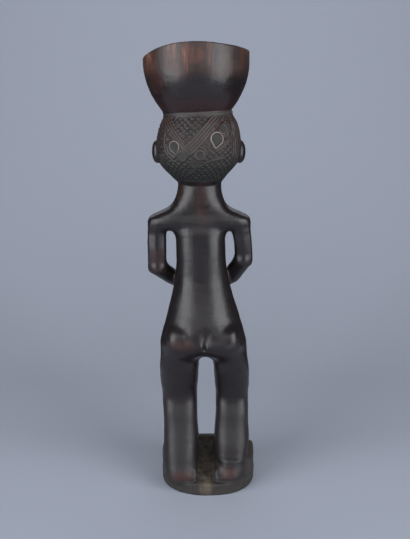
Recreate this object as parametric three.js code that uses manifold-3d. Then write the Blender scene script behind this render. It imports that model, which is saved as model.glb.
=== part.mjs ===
// A carved wooden figure of a standing woman who bears an open cup on her head.
// Units are millimetres and +Z is up. The origin is the centre of the base's underside.
// The figure faces -Y, so its left side is +X. Figure, cup and base are one piece of wood.

import * as THREE from "three";
import { mergeVertices } from "three/addons/utils/BufferGeometryUtils.js";
import Module from "manifold-3d";

// Driving dimensions of the whole
const HEIGHT = 330;
const BASE_HALF_WIDTH = 36;
const BASE_HEIGHT = 9.5;
const BASE_POWER = 2.5;
const BASE_EDGE = 1.6;

// The cup: its axis stands beside the middle, because the whole figure leans to its left
const CUP_X = 8.7;
const CUP_BOTTOM = 279;
const CUP_FLOOR = 291.5;
const CUP_WALL = 4.2;
const CUP_LIP = 3;
const RIM_SIDE = 323;
const RIM_BACK_RISE = 2.2;
const RIM_ARCH = HEIGHT - RIM_SIDE - RIM_BACK_RISE;
const RIM_SIDE_FALL = 1.7;

// The collar between the hair and the cup
const COLLAR = { x: 7.5, z: 283, radius: 25.3, height: 2.4, tilt: 0.066 };

// The head: eyes half way up it, the ears between the brow and the foot of the nose
const HEAD_X = 7.1;
const FACE_FRONT = -28.5;
const CHIN_Z = 238.5;
const CROWN_Z = 283;
const EYE_Z = CHIN_Z + 0.47 * (CROWN_Z - CHIN_Z);
const NOSE_FOOT_Z = CHIN_Z + 0.29 * (CROWN_Z - CHIN_Z);
const MOUTH_Z = CHIN_Z + 0.17 * (CROWN_Z - CHIN_Z);
const EYE_SPREAD = 10.5;
const EAR_Z = 254.5;
const EAR_SPREAD = 30;

// Chest, belly and seat
const BREAST = { x: 5.9, spread: 10, y: -15, z: 190, half: [7.5, 15, 8.5] };
const NAVEL = { x: 4.7, y: -21.5, z: 144, radius: 3 };
const SEAT = { x: 3.1, spread: 15, y: 12, z: 117.4, half: [15.4, 14.2, 12], power: 2.5 };

// The feet stand on the base between these two heights
const FOOT_INNER = { left: 8.8, right: -5 };
const FOOT_EDGE = 3.4;
const HEEL_BACK = 31;
const TOE_FRONT = -34;
const FOOT_SOLE = BASE_HEIGHT - 2;
const TOE_TOP = 15;
const INSTEP_TOP = 24;
const ANKLE_TOP = 28;
const LIP = { x: 1.9, half: 8, front: -33.5, back: -26, top: 13.5 };

// How finely round shapes are faceted
const BODY_SIDES = 22;
const LIMB_SIDES = 14;
const ROUND_SIDES = 36;
const RING_STEP = 8;

// Upright stretches are lofted through stations, from the lowest to the highest:
// height, middle across, half width, front, back, and the power of the section's outline,
// where 2 is an ellipse and more is squarer.
const TRUNK = [
  [104.5, 2.6, 20, -8, 8, 2.4],
  [106.5, 3.1, 27.8, -14, 14, 2.5],
  [110, 3.5, 31.2, -17, 18.5, 2.5],
  [119, 3.7, 30.5, -19, 20, 2.4],
  [128, 3.9, 28.4, -20.5, 19.4, 2.4],
  [138, 4.2, 25.6, -21.5, 18.2, 2.3],
  [147, 4.5, 23, -21.5, 17.6, 2.3],
  [156, 4.8, 20.8, -20.5, 16.8, 2.3],
  [166, 5.2, 18.9, -18.5, 16.3, 2.3],
  [178, 5.5, 18, -16.5, 16.6, 2.4],
  [190, 5.8, 17.9, -15.5, 16.8, 2.4],
  [206, 6.5, 18.5, -13.5, 15, 2.3],
];
const SHOULDERS = [
  [198, 6.6, 26, -8, 10.5, 2.4],
  [200, 6.7, 35.6, -11, 13.6, 2.6],
  [202.5, 6.8, 36.9, -12, 14.6, 2.8],
  [205.4, 6.8, 36.8, -12, 14.4, 2.8],
  [207.4, 6.7, 35.4, -11.6, 13.8, 2.7],
  [209.4, 6.6, 32.6, -11.2, 13.4, 2.6],
  [211.6, 6.6, 28.3, -11.2, 13.4, 2.4],
  [213.8, 6.7, 24, -11.6, 13.6, 2.3],
  [216.2, 6.8, 20.7, -12, 13.8, 2.2],
  [220, 6.7, 17.9, -12.4, 13.9, 2.1],
  [226, 6.5, 16, -12.8, 14, 2],
  [231.5, 6.4, 15.4, -13, 14, 2],
  [242, 6.6, 15.6, -13, 14, 2],
];
const HEAD = [
  [233, 6.6, 15.2, -15, 15.5, 2],
  [235.6, 6.9, 17.8, -19.5, 19, 2],
  [239, 7.2, 20.9, -23.5, 22, 2.1],
  [243, 7.4, 24.7, -26, 24.8, 2.1],
  [248, 7.3, 28.4, -27.8, 27.4, 2.1],
  [254, 7.1, 30.1, -28.5, 28.9, 2.1],
  [262, 7, 30.4, -28.9, 29.4, 2.1],
  [269, 6.9, 29.5, -28.6, 28.8, 2.1],
  [276, 6.7, 27.4, -27, 26.9, 2.1],
  [281, 7.1, 25, -25, 24.8, 2],
  [286, 7.6, 23.4, -23.4, 23.2, 2],
];
const LEG = {
  left: [
    [6, 21.6, 13, -14, 22, 2.5],
    [24, 21.2, 13.6, -13, 26.5, 2.4],
    [34, 21.1, 13.6, -12.5, 20.5, 2.4],
    [46, 21.5, 13.2, -14, 15, 2.3],
    [57, 21.9, 13.3, -18.5, 12, 2.3],
    [66, 22.2, 13.6, -21.5, 9, 2.4],
    [75, 22.5, 14, -19.5, 11, 2.3],
    [86, 22.4, 14.2, -16.5, 15, 2.3],
    [95, 22.1, 14.4, -15, 18.8, 2.4],
    [102, 21.2, 14.8, -15, 20.8, 2.4],
    [112, 19.5, 15.2, -15, 21, 2.4],
  ],
  right: [
    [6, -18.4, 13.6, -14, 22, 2.5],
    [24, -18.3, 13.6, -13, 26.5, 2.4],
    [34, -18.3, 13.6, -12.5, 20.5, 2.4],
    [46, -18.5, 13, -14, 15, 2.3],
    [57, -18.8, 12.6, -18.5, 12, 2.3],
    [66, -18.7, 12.7, -21.5, 9, 2.4],
    [75, -18.6, 13, -19.5, 11, 2.3],
    [86, -18.1, 12.9, -16.5, 15, 2.3],
    [95, -17.2, 12.8, -15, 18.8, 2.4],
    [102, -15.8, 13, -15, 20.8, 2.4],
    [112, -13.2, 13.6, -15, 21, 2.4],
  ],
};
const UPPER_ARM = {
  left: [
    [162.5, 37.2, 3.4, -6, 3.6, 2.2],
    [165, 37.2, 6, -8.4, 6, 2.4],
    [169, 37.4, 6.8, -9, 7, 2.6],
    [182, 37.6, 6.7, -8, 7.8, 2.6],
    [196, 37.3, 6.8, -7.6, 9, 2.6],
    [203, 36.6, 6.9, -8, 10.5, 2.6],
    [206, 35, 6.6, -7.4, 10.2, 2.6],
  ],
  right: [
    [168.5, -25.4, 3.2, -6, 3.6, 2.2],
    [171, -25.6, 5.8, -8.4, 6, 2.4],
    [175, -25.8, 6.6, -9, 7, 2.6],
    [185, -25.4, 6.3, -8, 7.8, 2.6],
    [193, -24.6, 6.6, -7.6, 8.6, 2.6],
    [198, -23.4, 7.4, -7.6, 9.4, 2.6],
    [203, -23.2, 6.9, -8, 10.5, 2.6],
    [206, -21.6, 6.6, -7.4, 10.2, 2.6],
  ],
};

// A forearm runs from the elbow forward, inward and down to a hand that lies on the belly.
// Each station is a place and the half width and half height of the section there.
const FOREARM = {
  left: [
    [37.4, -0.5, 168, 5.8, 5.8],
    [34.5, -4.5, 165.2, 6.4, 6.2],
    [28, -12, 159, 6, 6],
    [20.6, -18.6, 152.6, 6.2, 5],
    [12.4, -22.4, 148, 7, 3],
  ],
  right: [
    [-25.6, -0.5, 174, 5.8, 5.8],
    [-23.6, -4.5, 170.2, 6.4, 6.2],
    [-18, -12, 162, 6, 6],
    [-11.4, -18.6, 154, 6.2, 5],
    [-3.4, -22.4, 148, 7, 3],
  ],
};

// Half outline of the cup's outside: radius at each height
const CUP_OUTLINE = [
  [CUP_BOTTOM, 23],
  [283, 24],
  [286, 25.8],
  [290, 28.6],
  [294, 31],
  [299, 33.4],
  [305, 35.7],
  [311, 37.1],
  [318, 37.5],
  [HEIGHT + 4, 37],
];

const wasm = await Module();
wasm.setup();

// Turns a closed geometry into a solid that can be joined and cut.
function solidOf(geometry) {
  const bare = geometry.index ? geometry.toNonIndexed() : geometry.clone();
  bare.deleteAttribute("normal");
  bare.deleteAttribute("uv");
  const merged = mergeVertices(bare, 1e-4);
  return new wasm.Manifold(
    new wasm.Mesh({
      numProp: 3,
      vertProperties: merged.attributes.position.array,
      triVerts: new Uint32Array(merged.index.array),
    }),
  );
}

// Turns a joined solid back into a geometry.
function geometryOf(solid) {
  const mesh = solid.getMesh();
  const geometry = new THREE.BufferGeometry();
  geometry.setAttribute("position", new THREE.BufferAttribute(mesh.vertProperties, 3));
  geometry.setIndex(new THREE.BufferAttribute(mesh.triVerts, 1));
  return geometry;
}

// Closes a stack of rings, lowest first, each counter-clockwise from above, into one geometry.
function loft(rings) {
  const sides = rings[0].length;
  const middle = (ring) =>
    ring.reduce((sum, point) => sum.add(point), new THREE.Vector3()).divideScalar(sides);
  const points = [...rings.flat(), middle(rings[0]), middle(rings.at(-1))];
  const bottom = points.length - 2;
  const top = points.length - 1;
  const last = (rings.length - 1) * sides;
  const faces = [];
  for (let side = 0; side < sides; side += 1) {
    const next = (side + 1) % sides;
    faces.push(bottom, next, side, top, last + side, last + next);
    for (let low = 0; low < last; low += sides) {
      const high = low + sides;
      faces.push(low + side, low + next, high + next, low + side, high + next, high + side);
    }
  }
  const geometry = new THREE.BufferGeometry().setFromPoints(points);
  geometry.setIndex(faces);
  return geometry;
}

// A superellipse's point at an angle, for half axes of 1.
function outline(angle, power) {
  const bend = (value) => Math.sign(value) * Math.abs(value) ** (2 / power);
  return [bend(Math.cos(angle)), bend(Math.sin(angle))];
}

function angles(sides) {
  return Array.from({ length: sides }, (_, side) => (side / sides) * 2 * Math.PI);
}

// One level ring of an upright loft.
function levelRing([z, x, half, front, back, power], sides) {
  const y = (front + back) / 2;
  const halfDepth = (back - front) / 2;
  return angles(sides).map((angle) => {
    const [across, along] = outline(angle, power);
    return new THREE.Vector3(x + half * across, y + halfDepth * along, z);
  });
}

// Smooth values between stations, whose first number is where they stand.
function smooth(stations) {
  const values = stations.map((station) => station.slice(1));
  const places = stations.map((station) => station[0]);
  const curve = new THREE.CubicInterpolant(places, values.flat(), values[0].length, []);
  return (place) => [...curve.evaluate(place)];
}

function column(stations, sides) {
  const at = smooth(stations);
  const low = stations[0][0];
  const high = stations.at(-1)[0];
  const count = Math.max(stations.length - 1, Math.round((high - low) / RING_STEP));
  const levels = new Set(stations.map((station) => station[0]));
  for (let ring = 1; ring < count; ring += 1) {
    const z = low + ((high - low) * ring) / count;
    if ([...levels].every((level) => Math.abs(level - z) > RING_STEP / 3)) levels.add(z);
  }
  const sorted = [...levels].sort((a, b) => a - b);
  return loft(sorted.map((z) => levelRing([z, ...at(z)], sides)));
}

// A limb along a curved path, with rounded ends.
function limb(stations, sides) {
  const path = new THREE.CatmullRomCurve3(
    stations.map(([x, y, z]) => new THREE.Vector3(x, y, z)),
  );
  const size = smooth(stations.map(([, , , wide, high], place) => [place, wide, high]));
  const steps = 2 * (stations.length - 1);
  const rings = [];
  const addRing = (point, tangent, wide, high) => {
    const across = new THREE.Vector3(0, 0, 1).cross(tangent).normalize();
    const rise = new THREE.Vector3().crossVectors(tangent, across);
    rings.push(
      angles(sides).map((angle) =>
        point
          .clone()
          .addScaledVector(across, wide * Math.cos(angle))
          .addScaledVector(rise, high * Math.sin(angle)),
      ),
    );
  };
  for (let step = 0; step <= steps; step += 1) {
    const share = step / steps;
    const [wide, high] = size(share * (stations.length - 1));
    const point = path.getPoint(share);
    const tangent = path.getTangent(share);
    if (step === 0) {
      addRing(point.clone().addScaledVector(tangent, -0.8 * wide), tangent, 0.45 * wide, 0.45 * high);
      addRing(point.clone().addScaledVector(tangent, -0.45 * wide), tangent, 0.85 * wide, 0.85 * high);
    }
    addRing(point, tangent, wide, high);
    if (step === steps) {
      addRing(point.clone().addScaledVector(tangent, 0.4 * wide), tangent, 0.85 * wide, 0.85 * high);
      addRing(point.clone().addScaledVector(tangent, 0.75 * wide), tangent, 0.45 * wide, 0.45 * high);
    }
  }
  return loft(rings);
}

function ellipsoid(centre, half, sides = 14, levels = 10) {
  return new THREE.SphereGeometry(1, sides, levels)
    .rotateX(Math.PI / 2)
    .scale(...half)
    .translate(...centre);
}

// An ellipsoid with flattened faces: a power above 2 makes it more like a cushion.
function cushion(centre, half, power) {
  const ball = new THREE.SphereGeometry(1, 16, 10).rotateX(Math.PI / 2);
  const places = ball.attributes.position;
  for (let index = 0; index < places.count; index += 1) {
    const place = new THREE.Vector3().fromBufferAttribute(places, index);
    const sum = place.toArray().reduce((total, value) => total + Math.abs(value) ** power, 0);
    place.divideScalar(sum ** (1 / power));
    places.setXYZ(index, ...place);
  }
  return ball.scale(...half).translate(...centre);
}

// The base, with its edges eased above and below, and the log that feet and base are cut from
function baseSolid() {
  const ring = (z, half) => levelRing([z, 0, half, -half, half, BASE_POWER], ROUND_SIDES);
  const half = BASE_HALF_WIDTH;
  return loft([
    ring(0, half - BASE_EDGE),
    ring(0.3 * BASE_EDGE, half - 0.3 * BASE_EDGE),
    ring(BASE_EDGE, half),
    ring(BASE_HEIGHT - BASE_EDGE, half),
    ring(BASE_HEIGHT - 0.3 * BASE_EDGE, half - 0.3 * BASE_EDGE),
    ring(BASE_HEIGHT, half - BASE_EDGE),
  ]);
}

function logSolid() {
  const half = BASE_HALF_WIDTH;
  const ring = (z) => levelRing([z, 0, half, -half, half, BASE_POWER], ROUND_SIDES);
  return loft([ring(0), ring(2 * ANKLE_TOP)]);
}

// A foot's side view, extruded from the gap between the feet to beyond the log's side
function footSolid(side) {
  const profile = new THREE.Shape();
  profile.moveTo(HEEL_BACK - 1, FOOT_SOLE);
  profile.lineTo(HEEL_BACK, BASE_HEIGHT + 4);
  profile.quadraticCurveTo(HEEL_BACK, INSTEP_TOP, HEEL_BACK - 8, ANKLE_TOP);
  profile.lineTo(-8, ANKLE_TOP);
  profile.lineTo(-13, INSTEP_TOP);
  profile.quadraticCurveTo(-18, INSTEP_TOP - 6, TOE_FRONT + 8, TOE_TOP + 2.5);
  profile.quadraticCurveTo(TOE_FRONT, TOE_TOP + 1, TOE_FRONT, TOE_TOP - 3);
  profile.lineTo(TOE_FRONT, FOOT_SOLE);
  profile.closePath();
  const inner = FOOT_INNER[side];
  const outer = side === "left" ? BASE_HALF_WIDTH : -BASE_HALF_WIDTH;
  const width = Math.abs(outer - inner) + FOOT_EDGE;
  const block = new THREE.ExtrudeGeometry(profile, {
    depth: width - 2 * FOOT_EDGE,
    bevelSize: FOOT_EDGE,
    bevelThickness: FOOT_EDGE,
    bevelOffset: -FOOT_EDGE,
    bevelSegments: 2,
    curveSegments: 5,
  });
  // The profile's own axes turn to Y and Z, and its depth to X.
  const turn = new THREE.Matrix4().makeBasis(
    new THREE.Vector3(0, 1, 0),
    new THREE.Vector3(0, 0, 1),
    new THREE.Vector3(1, 0, 0),
  );
  block.applyMatrix4(turn);
  const start = side === "left" ? inner : outer - FOOT_EDGE;
  block.translate(start + FOOT_EDGE, 0, 0);
  return block;
}

// The raised lip along the front edge of the base, between the toes
function lipSolid() {
  const { x, half, front, back, top } = LIP;
  const height = top - FOOT_SOLE;
  return new THREE.BoxGeometry(2 * half, back - front, height).translate(
    x,
    (front + back) / 2,
    FOOT_SOLE + height / 2,
  );
}

// The rim's height round the cup: highest behind, arched between the sides, lower on the left
function rimHeight(across, along) {
  const fall = RIM_SIDE_FALL * across * (1 - along ** 2);
  return RIM_SIDE + RIM_BACK_RISE * along + RIM_ARCH * along ** 2 - fall;
}

const cupRadius = smooth(CUP_OUTLINE);

function cupOutside() {
  const shares = [0, 0.09, 0.16, 0.25, 0.34, 0.45, 0.58, 0.72, 0.86, 0.97, 1];
  return loft(
    shares.map((share) =>
      angles(ROUND_SIDES).map((angle) => {
        const [across, along] = [Math.cos(angle), Math.sin(angle)];
        const z = CUP_BOTTOM + share * (rimHeight(across, along) - CUP_BOTTOM);
        const ease = share === 1 ? 0.8 : 0;
        const radius = cupRadius(z)[0] - ease;
        return new THREE.Vector3(CUP_X + radius * across, radius * along, z);
      }),
    ),
  );
}

// The hollow: a round floor that opens into the wall's inside and runs out above the rim
function cupHollow() {
  const top = HEIGHT + 3;
  const rings = [0, 0.05, 0.13, 0.24, 0.38, 0.55, 0.75, 1].map((share) => {
    const z = CUP_FLOOR + share * (top - CUP_FLOOR);
    const wall = CUP_WALL + (CUP_LIP - CUP_WALL) * share;
    const bowl = Math.sqrt(1 - (1 - Math.min(1, share / 0.55)) ** 2.4);
    const radius = (cupRadius(z)[0] - wall) * Math.max(0.35, bowl);
    return levelRing([z, CUP_X, radius, -radius, radius, 2], ROUND_SIDES);
  });
  return loft(rings);
}

function collarSolid() {
  const { x, z, radius, height, tilt } = COLLAR;
  const profile = [
    new THREE.Vector2(0, -height / 2),
    new THREE.Vector2(radius - 0.7, -height / 2),
    new THREE.Vector2(radius, -height / 4),
    new THREE.Vector2(radius, height / 4),
    new THREE.Vector2(radius - 0.7, height / 2),
    new THREE.Vector2(0, height / 2),
  ];
  return new THREE.LatheGeometry(profile, ROUND_SIDES)
    .rotateX(Math.PI / 2)
    .rotateY(tilt)
    .translate(x, 0, z);
}

// The face: a straight nose, two closed eyes under a level brow, a small mouth and a round chin
function faceSolids() {
  const noseTop = EYE_Z + 3.5;
  const nose = loft([
    levelRing([NOSE_FOOT_Z, HEAD_X, 3.8, FACE_FRONT - 4.6, FACE_FRONT + 8, 2.2], 10),
    levelRing([NOSE_FOOT_Z + 2, HEAD_X, 3.6, FACE_FRONT - 4.8, FACE_FRONT + 8, 2.2], 10),
    levelRing([noseTop - 3, HEAD_X, 2, FACE_FRONT - 1.8, FACE_FRONT + 8, 2.2], 10),
    levelRing([noseTop, HEAD_X, 1.8, FACE_FRONT + 1, FACE_FRONT + 8, 2.2], 10),
  ]);
  const eyes = [-1, 1].map((side) =>
    ellipsoid([HEAD_X + side * EYE_SPREAD, FACE_FRONT + 3.4, EYE_Z], [5, 3.4, 2.6], 12, 8),
  );
  const mouth = ellipsoid([HEAD_X, FACE_FRONT + 3.4, MOUTH_Z], [5.4, 3.8, 1.9], 12, 8);
  const chin = ellipsoid([HEAD_X, FACE_FRONT + 8, CHIN_Z + 2.6], [6.5, 5.5, 4], 12, 8);
  return [nose, ...eyes, mouth, chin];
}

function earSolids() {
  return [-1, 1].map((side) =>
    ellipsoid([HEAD_X + side * EAR_SPREAD, -2.5, EAR_Z], [3.2, 5.4, 7.6], 14, 10),
  );
}

function breastSolids() {
  const { x, spread, y, z, half } = BREAST;
  return [-1, 1].map((side) => ellipsoid([x + side * spread, y, z], half));
}

function seatSolids() {
  const { x, spread, y, z, half, power } = SEAT;
  return [-1, 1].map((side) => cushion([x + side * spread, y, z], half, power));
}

function figureSolid() {
  const log = solidOf(logSolid());
  const feet = ["left", "right"].map((side) => solidOf(footSolid(side)).intersect(log));
  const rounds = [
    baseSolid(),
    lipSolid(),
    column(LEG.left, LIMB_SIDES),
    column(LEG.right, LIMB_SIDES),
    column(TRUNK, BODY_SIDES),
    column(SHOULDERS, BODY_SIDES),
    column(UPPER_ARM.left, LIMB_SIDES),
    column(UPPER_ARM.right, LIMB_SIDES),
    limb(FOREARM.left, LIMB_SIDES),
    limb(FOREARM.right, LIMB_SIDES),
    ...seatSolids(),
    ...breastSolids(),
    ellipsoid([NAVEL.x, NAVEL.y, NAVEL.z], [NAVEL.radius, NAVEL.radius, NAVEL.radius], 12, 8),
    column(HEAD, BODY_SIDES + 4),
    ...faceSolids(),
    ...earSolids(),
    collarSolid(),
    cupOutside(),
  ].map(solidOf);
  const whole = [...feet, ...rounds].reduce((joined, piece) => joined.add(piece));
  return whole.subtract(solidOf(cupHollow()));
}

const wood = new THREE.MeshStandardMaterial({ color: 0x2a1d18, roughness: 0.42, metalness: 0 });
const figure = new THREE.Mesh(geometryOf(figureSolid()), wood);
figure.name = "figure";

const group = new THREE.Group();
group.add(figure);

export default group;
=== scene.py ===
"""Looks of a carved wooden figure with a cup on its head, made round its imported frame."""

import math

import bmesh
import bpy
import numpy as np
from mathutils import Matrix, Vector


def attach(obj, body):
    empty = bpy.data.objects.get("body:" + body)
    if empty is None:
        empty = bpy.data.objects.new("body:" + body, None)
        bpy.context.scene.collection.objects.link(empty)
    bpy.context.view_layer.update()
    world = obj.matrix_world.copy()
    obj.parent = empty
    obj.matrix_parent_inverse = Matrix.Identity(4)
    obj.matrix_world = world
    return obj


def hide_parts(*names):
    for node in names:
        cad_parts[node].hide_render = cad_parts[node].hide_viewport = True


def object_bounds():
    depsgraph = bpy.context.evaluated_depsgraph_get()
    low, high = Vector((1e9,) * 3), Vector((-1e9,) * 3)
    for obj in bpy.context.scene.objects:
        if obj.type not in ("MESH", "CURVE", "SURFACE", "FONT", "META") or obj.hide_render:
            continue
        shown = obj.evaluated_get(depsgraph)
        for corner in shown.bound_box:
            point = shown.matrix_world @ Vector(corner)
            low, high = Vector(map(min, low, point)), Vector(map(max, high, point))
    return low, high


bl_info = {
    "name": "Carved cup bearer",
    "version": (1, 0, 0),
    "blender": (4, 5, 0),
    "location": "3D View > Sidebar > Carving",
    "description": "Builds a carved wooden figure with a cup on its head, and a small studio round it",
    "category": "Object",
}

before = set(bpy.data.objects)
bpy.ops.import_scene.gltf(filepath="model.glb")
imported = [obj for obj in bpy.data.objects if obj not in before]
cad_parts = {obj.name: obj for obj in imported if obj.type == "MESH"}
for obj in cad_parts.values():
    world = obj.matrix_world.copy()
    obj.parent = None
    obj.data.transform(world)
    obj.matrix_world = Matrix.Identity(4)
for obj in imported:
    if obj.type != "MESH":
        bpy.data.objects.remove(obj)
CAD_BOX = [list(corner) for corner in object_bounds()]
PIECE = "carving"
NODE = "figure"
MM = 0.001

# The whole, from the frame, in millimetres
HEIGHT = round(CAD_BOX[1][2] / MM)
BASE_HALF = 36.1
BASE_HEIGHT = 9.5
BASE_POWER = 2.3

# Upright stretches are lofted through stations, from the lowest to the highest:
# height, middle across, half width, front, back, and the power of the section's outline.
TRUNK = [
    (104.5, 2.6, 21, -10, 4, 2.3),
    (106.5, 3.1, 28.2, -14.5, 11.5, 2.4),
    (110, 3.5, 31.0, -17, 18, 2.4),
    (119, 3.7, 30.8, -19, 23.6, 2.25),
    (128, 3.9, 28.7, -20.5, 24.8, 2.15),
    (133, 4.0, 27.4, -21, 23.4, 2.1),
    (139, 4.2, 25.7, -21.5, 21.2, 2.1),
    (147, 4.5, 23.4, -21.5, 19.0, 2.1),
    (156, 4.8, 21.2, -20.5, 17.4, 2.15),
    (166, 5.2, 19.3, -18.5, 16.4, 2.2),
    (178, 5.5, 18.4, -16.5, 16.6, 2.25),
    (190, 5.8, 18.3, -15.5, 16.6, 2.3),
    (198, 6.2, 18.6, -14.5, 15.6, 2.3),
    (206, 6.5, 17.5, -13, 13.0, 2.3),
    (212, 6.6, 14, -10, 9.5, 2.2),
]
SHOULDERS = [
    (196.5, 6.6, 22, -5, 5.5, 2.4),
    (199, 6.7, 32.6, -8.5, 9.8, 2.7),
    (202, 6.8, 37.0, -11.2, 12.8, 3.0),
    (204.6, 6.8, 37.9, -12, 14.0, 3.1),
    (206.8, 6.7, 37.3, -11.8, 14.0, 3.2),
    (209.4, 6.6, 34.4, -11.2, 13.5, 3.1),
    (211.6, 6.6, 29.8, -11.2, 13.5, 2.9),
    (213.8, 6.7, 25, -11.6, 13.6, 2.7),
    (216.2, 6.8, 21.4, -12, 13.8, 2.5),
    (220, 6.7, 18.5, -12.4, 13.9, 2.3),
    (226, 6.5, 16.4, -12.8, 14, 2.1),
    (231.5, 6.4, 15.8, -13, 14, 2),
    (242, 6.6, 16.0, -13, 14, 2),
]
HEAD = [
    (232.4, 6.5, 14.2, -13.5, 15.2, 2),
    (234, 6.6, 16.2, -16.5, 17.2, 2),
    (236, 6.9, 18.3, -19.5, 19.4, 2),
    (239, 7.2, 20.9, -22.6, 22, 2.1),
    (243, 7.4, 24.7, -25.2, 24.8, 2.1),
    (248, 7.3, 28.4, -26.8, 27.4, 2.1),
    (254, 7.1, 30.1, -27.6, 28.9, 2.1),
    (262, 7, 30.4, -28.3, 29.4, 2.1),
    (269, 6.9, 29.5, -28.2, 28.8, 2.1),
    (276, 6.7, 27.4, -27, 26.9, 2.1),
    (281, 7.1, 25, -25, 24.8, 2),
    (286, 7.6, 23.4, -23.4, 23.2, 2),
]
LEGS = {
    "left": [
        (6, 21.0, 12.2, -14, 32.0, 2.4),
        (11, 21.2, 13.0, -14, 32.8, 2.5),
        (17, 21.2, 13.4, -14, 31.8, 2.6),
        (20, 21.2, 13.6, -13.8, 30.4, 2.55),
        (25, 21.2, 13.7, -13.5, 26.5, 2.55),
        (34, 21.1, 13.6, -12.5, 20.5, 2.55),
        (46, 21.5, 13.2, -14, 15, 2.55),
        (56, 21.9, 13.3, -18.0, 12.0, 2.9),
        (64, 22.2, 13.6, -21.2, 9.2, 2.8),
        (67, 22.2, 13.7, -21.5, 8.8, 2.7),
        (70, 22.3, 13.8, -21, 9.4, 2.6),
        (77, 22.5, 14.4, -19, 11.6, 2.4),
        (86, 22.4, 14.8, -16.5, 15, 2.3),
        (95, 22.1, 14.9, -15, 18.2, 2.4),
        (103, 21.2, 14.8, -15, 19.4, 2.4),
        (112, 18.6, 13.6, -14, 18, 2.4),
        (120, 16.5, 12.0, -12, 15, 2.3),
    ],
    "right": [
        (6, -17.0, 11.0, -14, 32.0, 2.3),
        (11, -17.2, 11.6, -14, 32.2, 2.5),
        (17, -17.4, 12.0, -14, 31.2, 2.6),
        (22.5, -17.6, 12.2, -13.6, 29.8, 2.55),
        (24.3, -17.8, 12.6, -13.5, 29.4, 2.55),
        (26.5, -17.9, 12.9, -13.4, 27.4, 2.55),
        (34, -18.3, 13.6, -12.5, 21.0, 2.55),
        (46, -18.5, 13, -14, 15, 2.55),
        (56, -18.8, 12.6, -18.0, 12.0, 2.9),
        (64, -18.7, 12.7, -21.2, 9.2, 2.8),
        (67, -18.7, 12.7, -21.5, 8.8, 2.7),
        (70, -18.6, 12.8, -21, 9.4, 2.6),
        (77, -18.5, 13.4, -19, 11.6, 2.4),
        (86, -18.1, 13.5, -16.5, 15, 2.3),
        (95, -17.3, 13.4, -15, 18.2, 2.4),
        (103, -15.9, 13.3, -15, 19.4, 2.4),
        (112, -12.6, 12.0, -14, 18, 2.4),
        (120, -9.5, 11.0, -12, 15, 2.3),
    ],
}
UPPER_ARMS = {
    "left": [
        (164.0, 37.3, 5.4, -7, 2.0, 2.4),
        (165.6, 38.0, 6.4, -8.6, 3.4, 2.7),
        (169, 38.3, 6.9, -9, 4.6, 3.0),
        (182, 38.3, 6.9, -8, 7.6, 3.1),
        (196, 38.1, 6.8, -7.6, 9, 3.1),
        (202, 37.2, 6.6, -8, 10.5, 3.0),
        (206, 35.0, 6.0, -7.4, 10.2, 2.8),
    ],
    "right": [
        (169.8, -25.6, 5.2, -7, 2.2, 2.4),
        (171.4, -26.0, 6.2, -8.4, 3.6, 2.7),
        (175, -26.4, 6.6, -9, 4.8, 3.0),
        (186, -25.9, 6.6, -8, 7.4, 3.1),
        (194, -24.9, 6.8, -7.6, 9, 3.1),
        (202, -23.6, 6.8, -8, 10.5, 3.0),
        (206, -22.0, 6.2, -7.4, 10.2, 2.8),
    ],
}

# The seat's domes: middle and half sizes, the two outer ones and then the two inner ones
SEAT_DOMES = [
    (21.2, 12.2, 117.6, (11.2, 14.6, 12.2)),
    (-14.0, 12.4, 117.8, (10.4, 14.6, 12.2)),
    (9.8, 11.6, 119.6, (9.4, 14.8, 13.0)),
    (-5.4, 11.6, 119.2, (9.2, 14.8, 13.0)),
]

# Round limbs run through places with a radius each.
FOREARMS = {
    "left": [(37.6, -0.5, 169.2, 5.6), (34.8, -4.5, 166.2, 6.2), (28, -12, 159.4, 6.0), (20.2, -18.6, 153.0, 5.0)],
    "right": [(-25.9, -0.5, 174.8, 5.6), (-23.8, -4.5, 170.6, 6.4), (-18, -12, 161, 6.6), (-11.0, -18.6, 153.8, 5.2)],
}

# The cup: its outside is turned, its rim arches up behind and in front
CUP_X = 8.7
CUP_BOTTOM = 278.0
CUP_FLOOR = 291.5
CUP_OUTSIDE = [
    (277, 22.5), (281, 23.3), (283.6, 24.2), (286, 25.9), (290, 28.7), (294, 31.1), (299, 33.5),
    (305, 35.7), (311, 37.0), (318, 37.5), (336, 37.1),
]
RIM = {"side": 323.0, "back_rise": 2.2, "arch": 4.8, "side_fall": 2.5}
COLLAR = {"x": 7.2, "z": 282.8, "radius": 23.8, "half": 0.85, "tilt": 0.03}

# The head's carved hair is laid out in millimetres round the head, from the middle of the back
# towards the figure's left, and up it.
HEAD_X = 7.0
HAIR_RADIUS = 30.0
HAIR_LOW = 236.2
HAIR_HIGH = 281.4

# Face: the eyes half way up the head, the nose's foot a third, the mouth a fifth
FACE_X = 7.1
CHIN_Z = 238.5
CROWN_Z = 283.0
EYE_Z = CHIN_Z + 0.47 * (CROWN_Z - CHIN_Z)
NOSE_FOOT_Z = CHIN_Z + 0.30 * (CROWN_Z - CHIN_Z)
MOUTH_Z = CHIN_Z + 0.175 * (CROWN_Z - CHIN_Z)
BROW_Z = EYE_Z + 5.2
EYE_SPREAD = 10.4
EAR_Z = 254.8


LIGHT_COLOUR = (0.93, 0.955, 1.0)


# Distance fields

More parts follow.
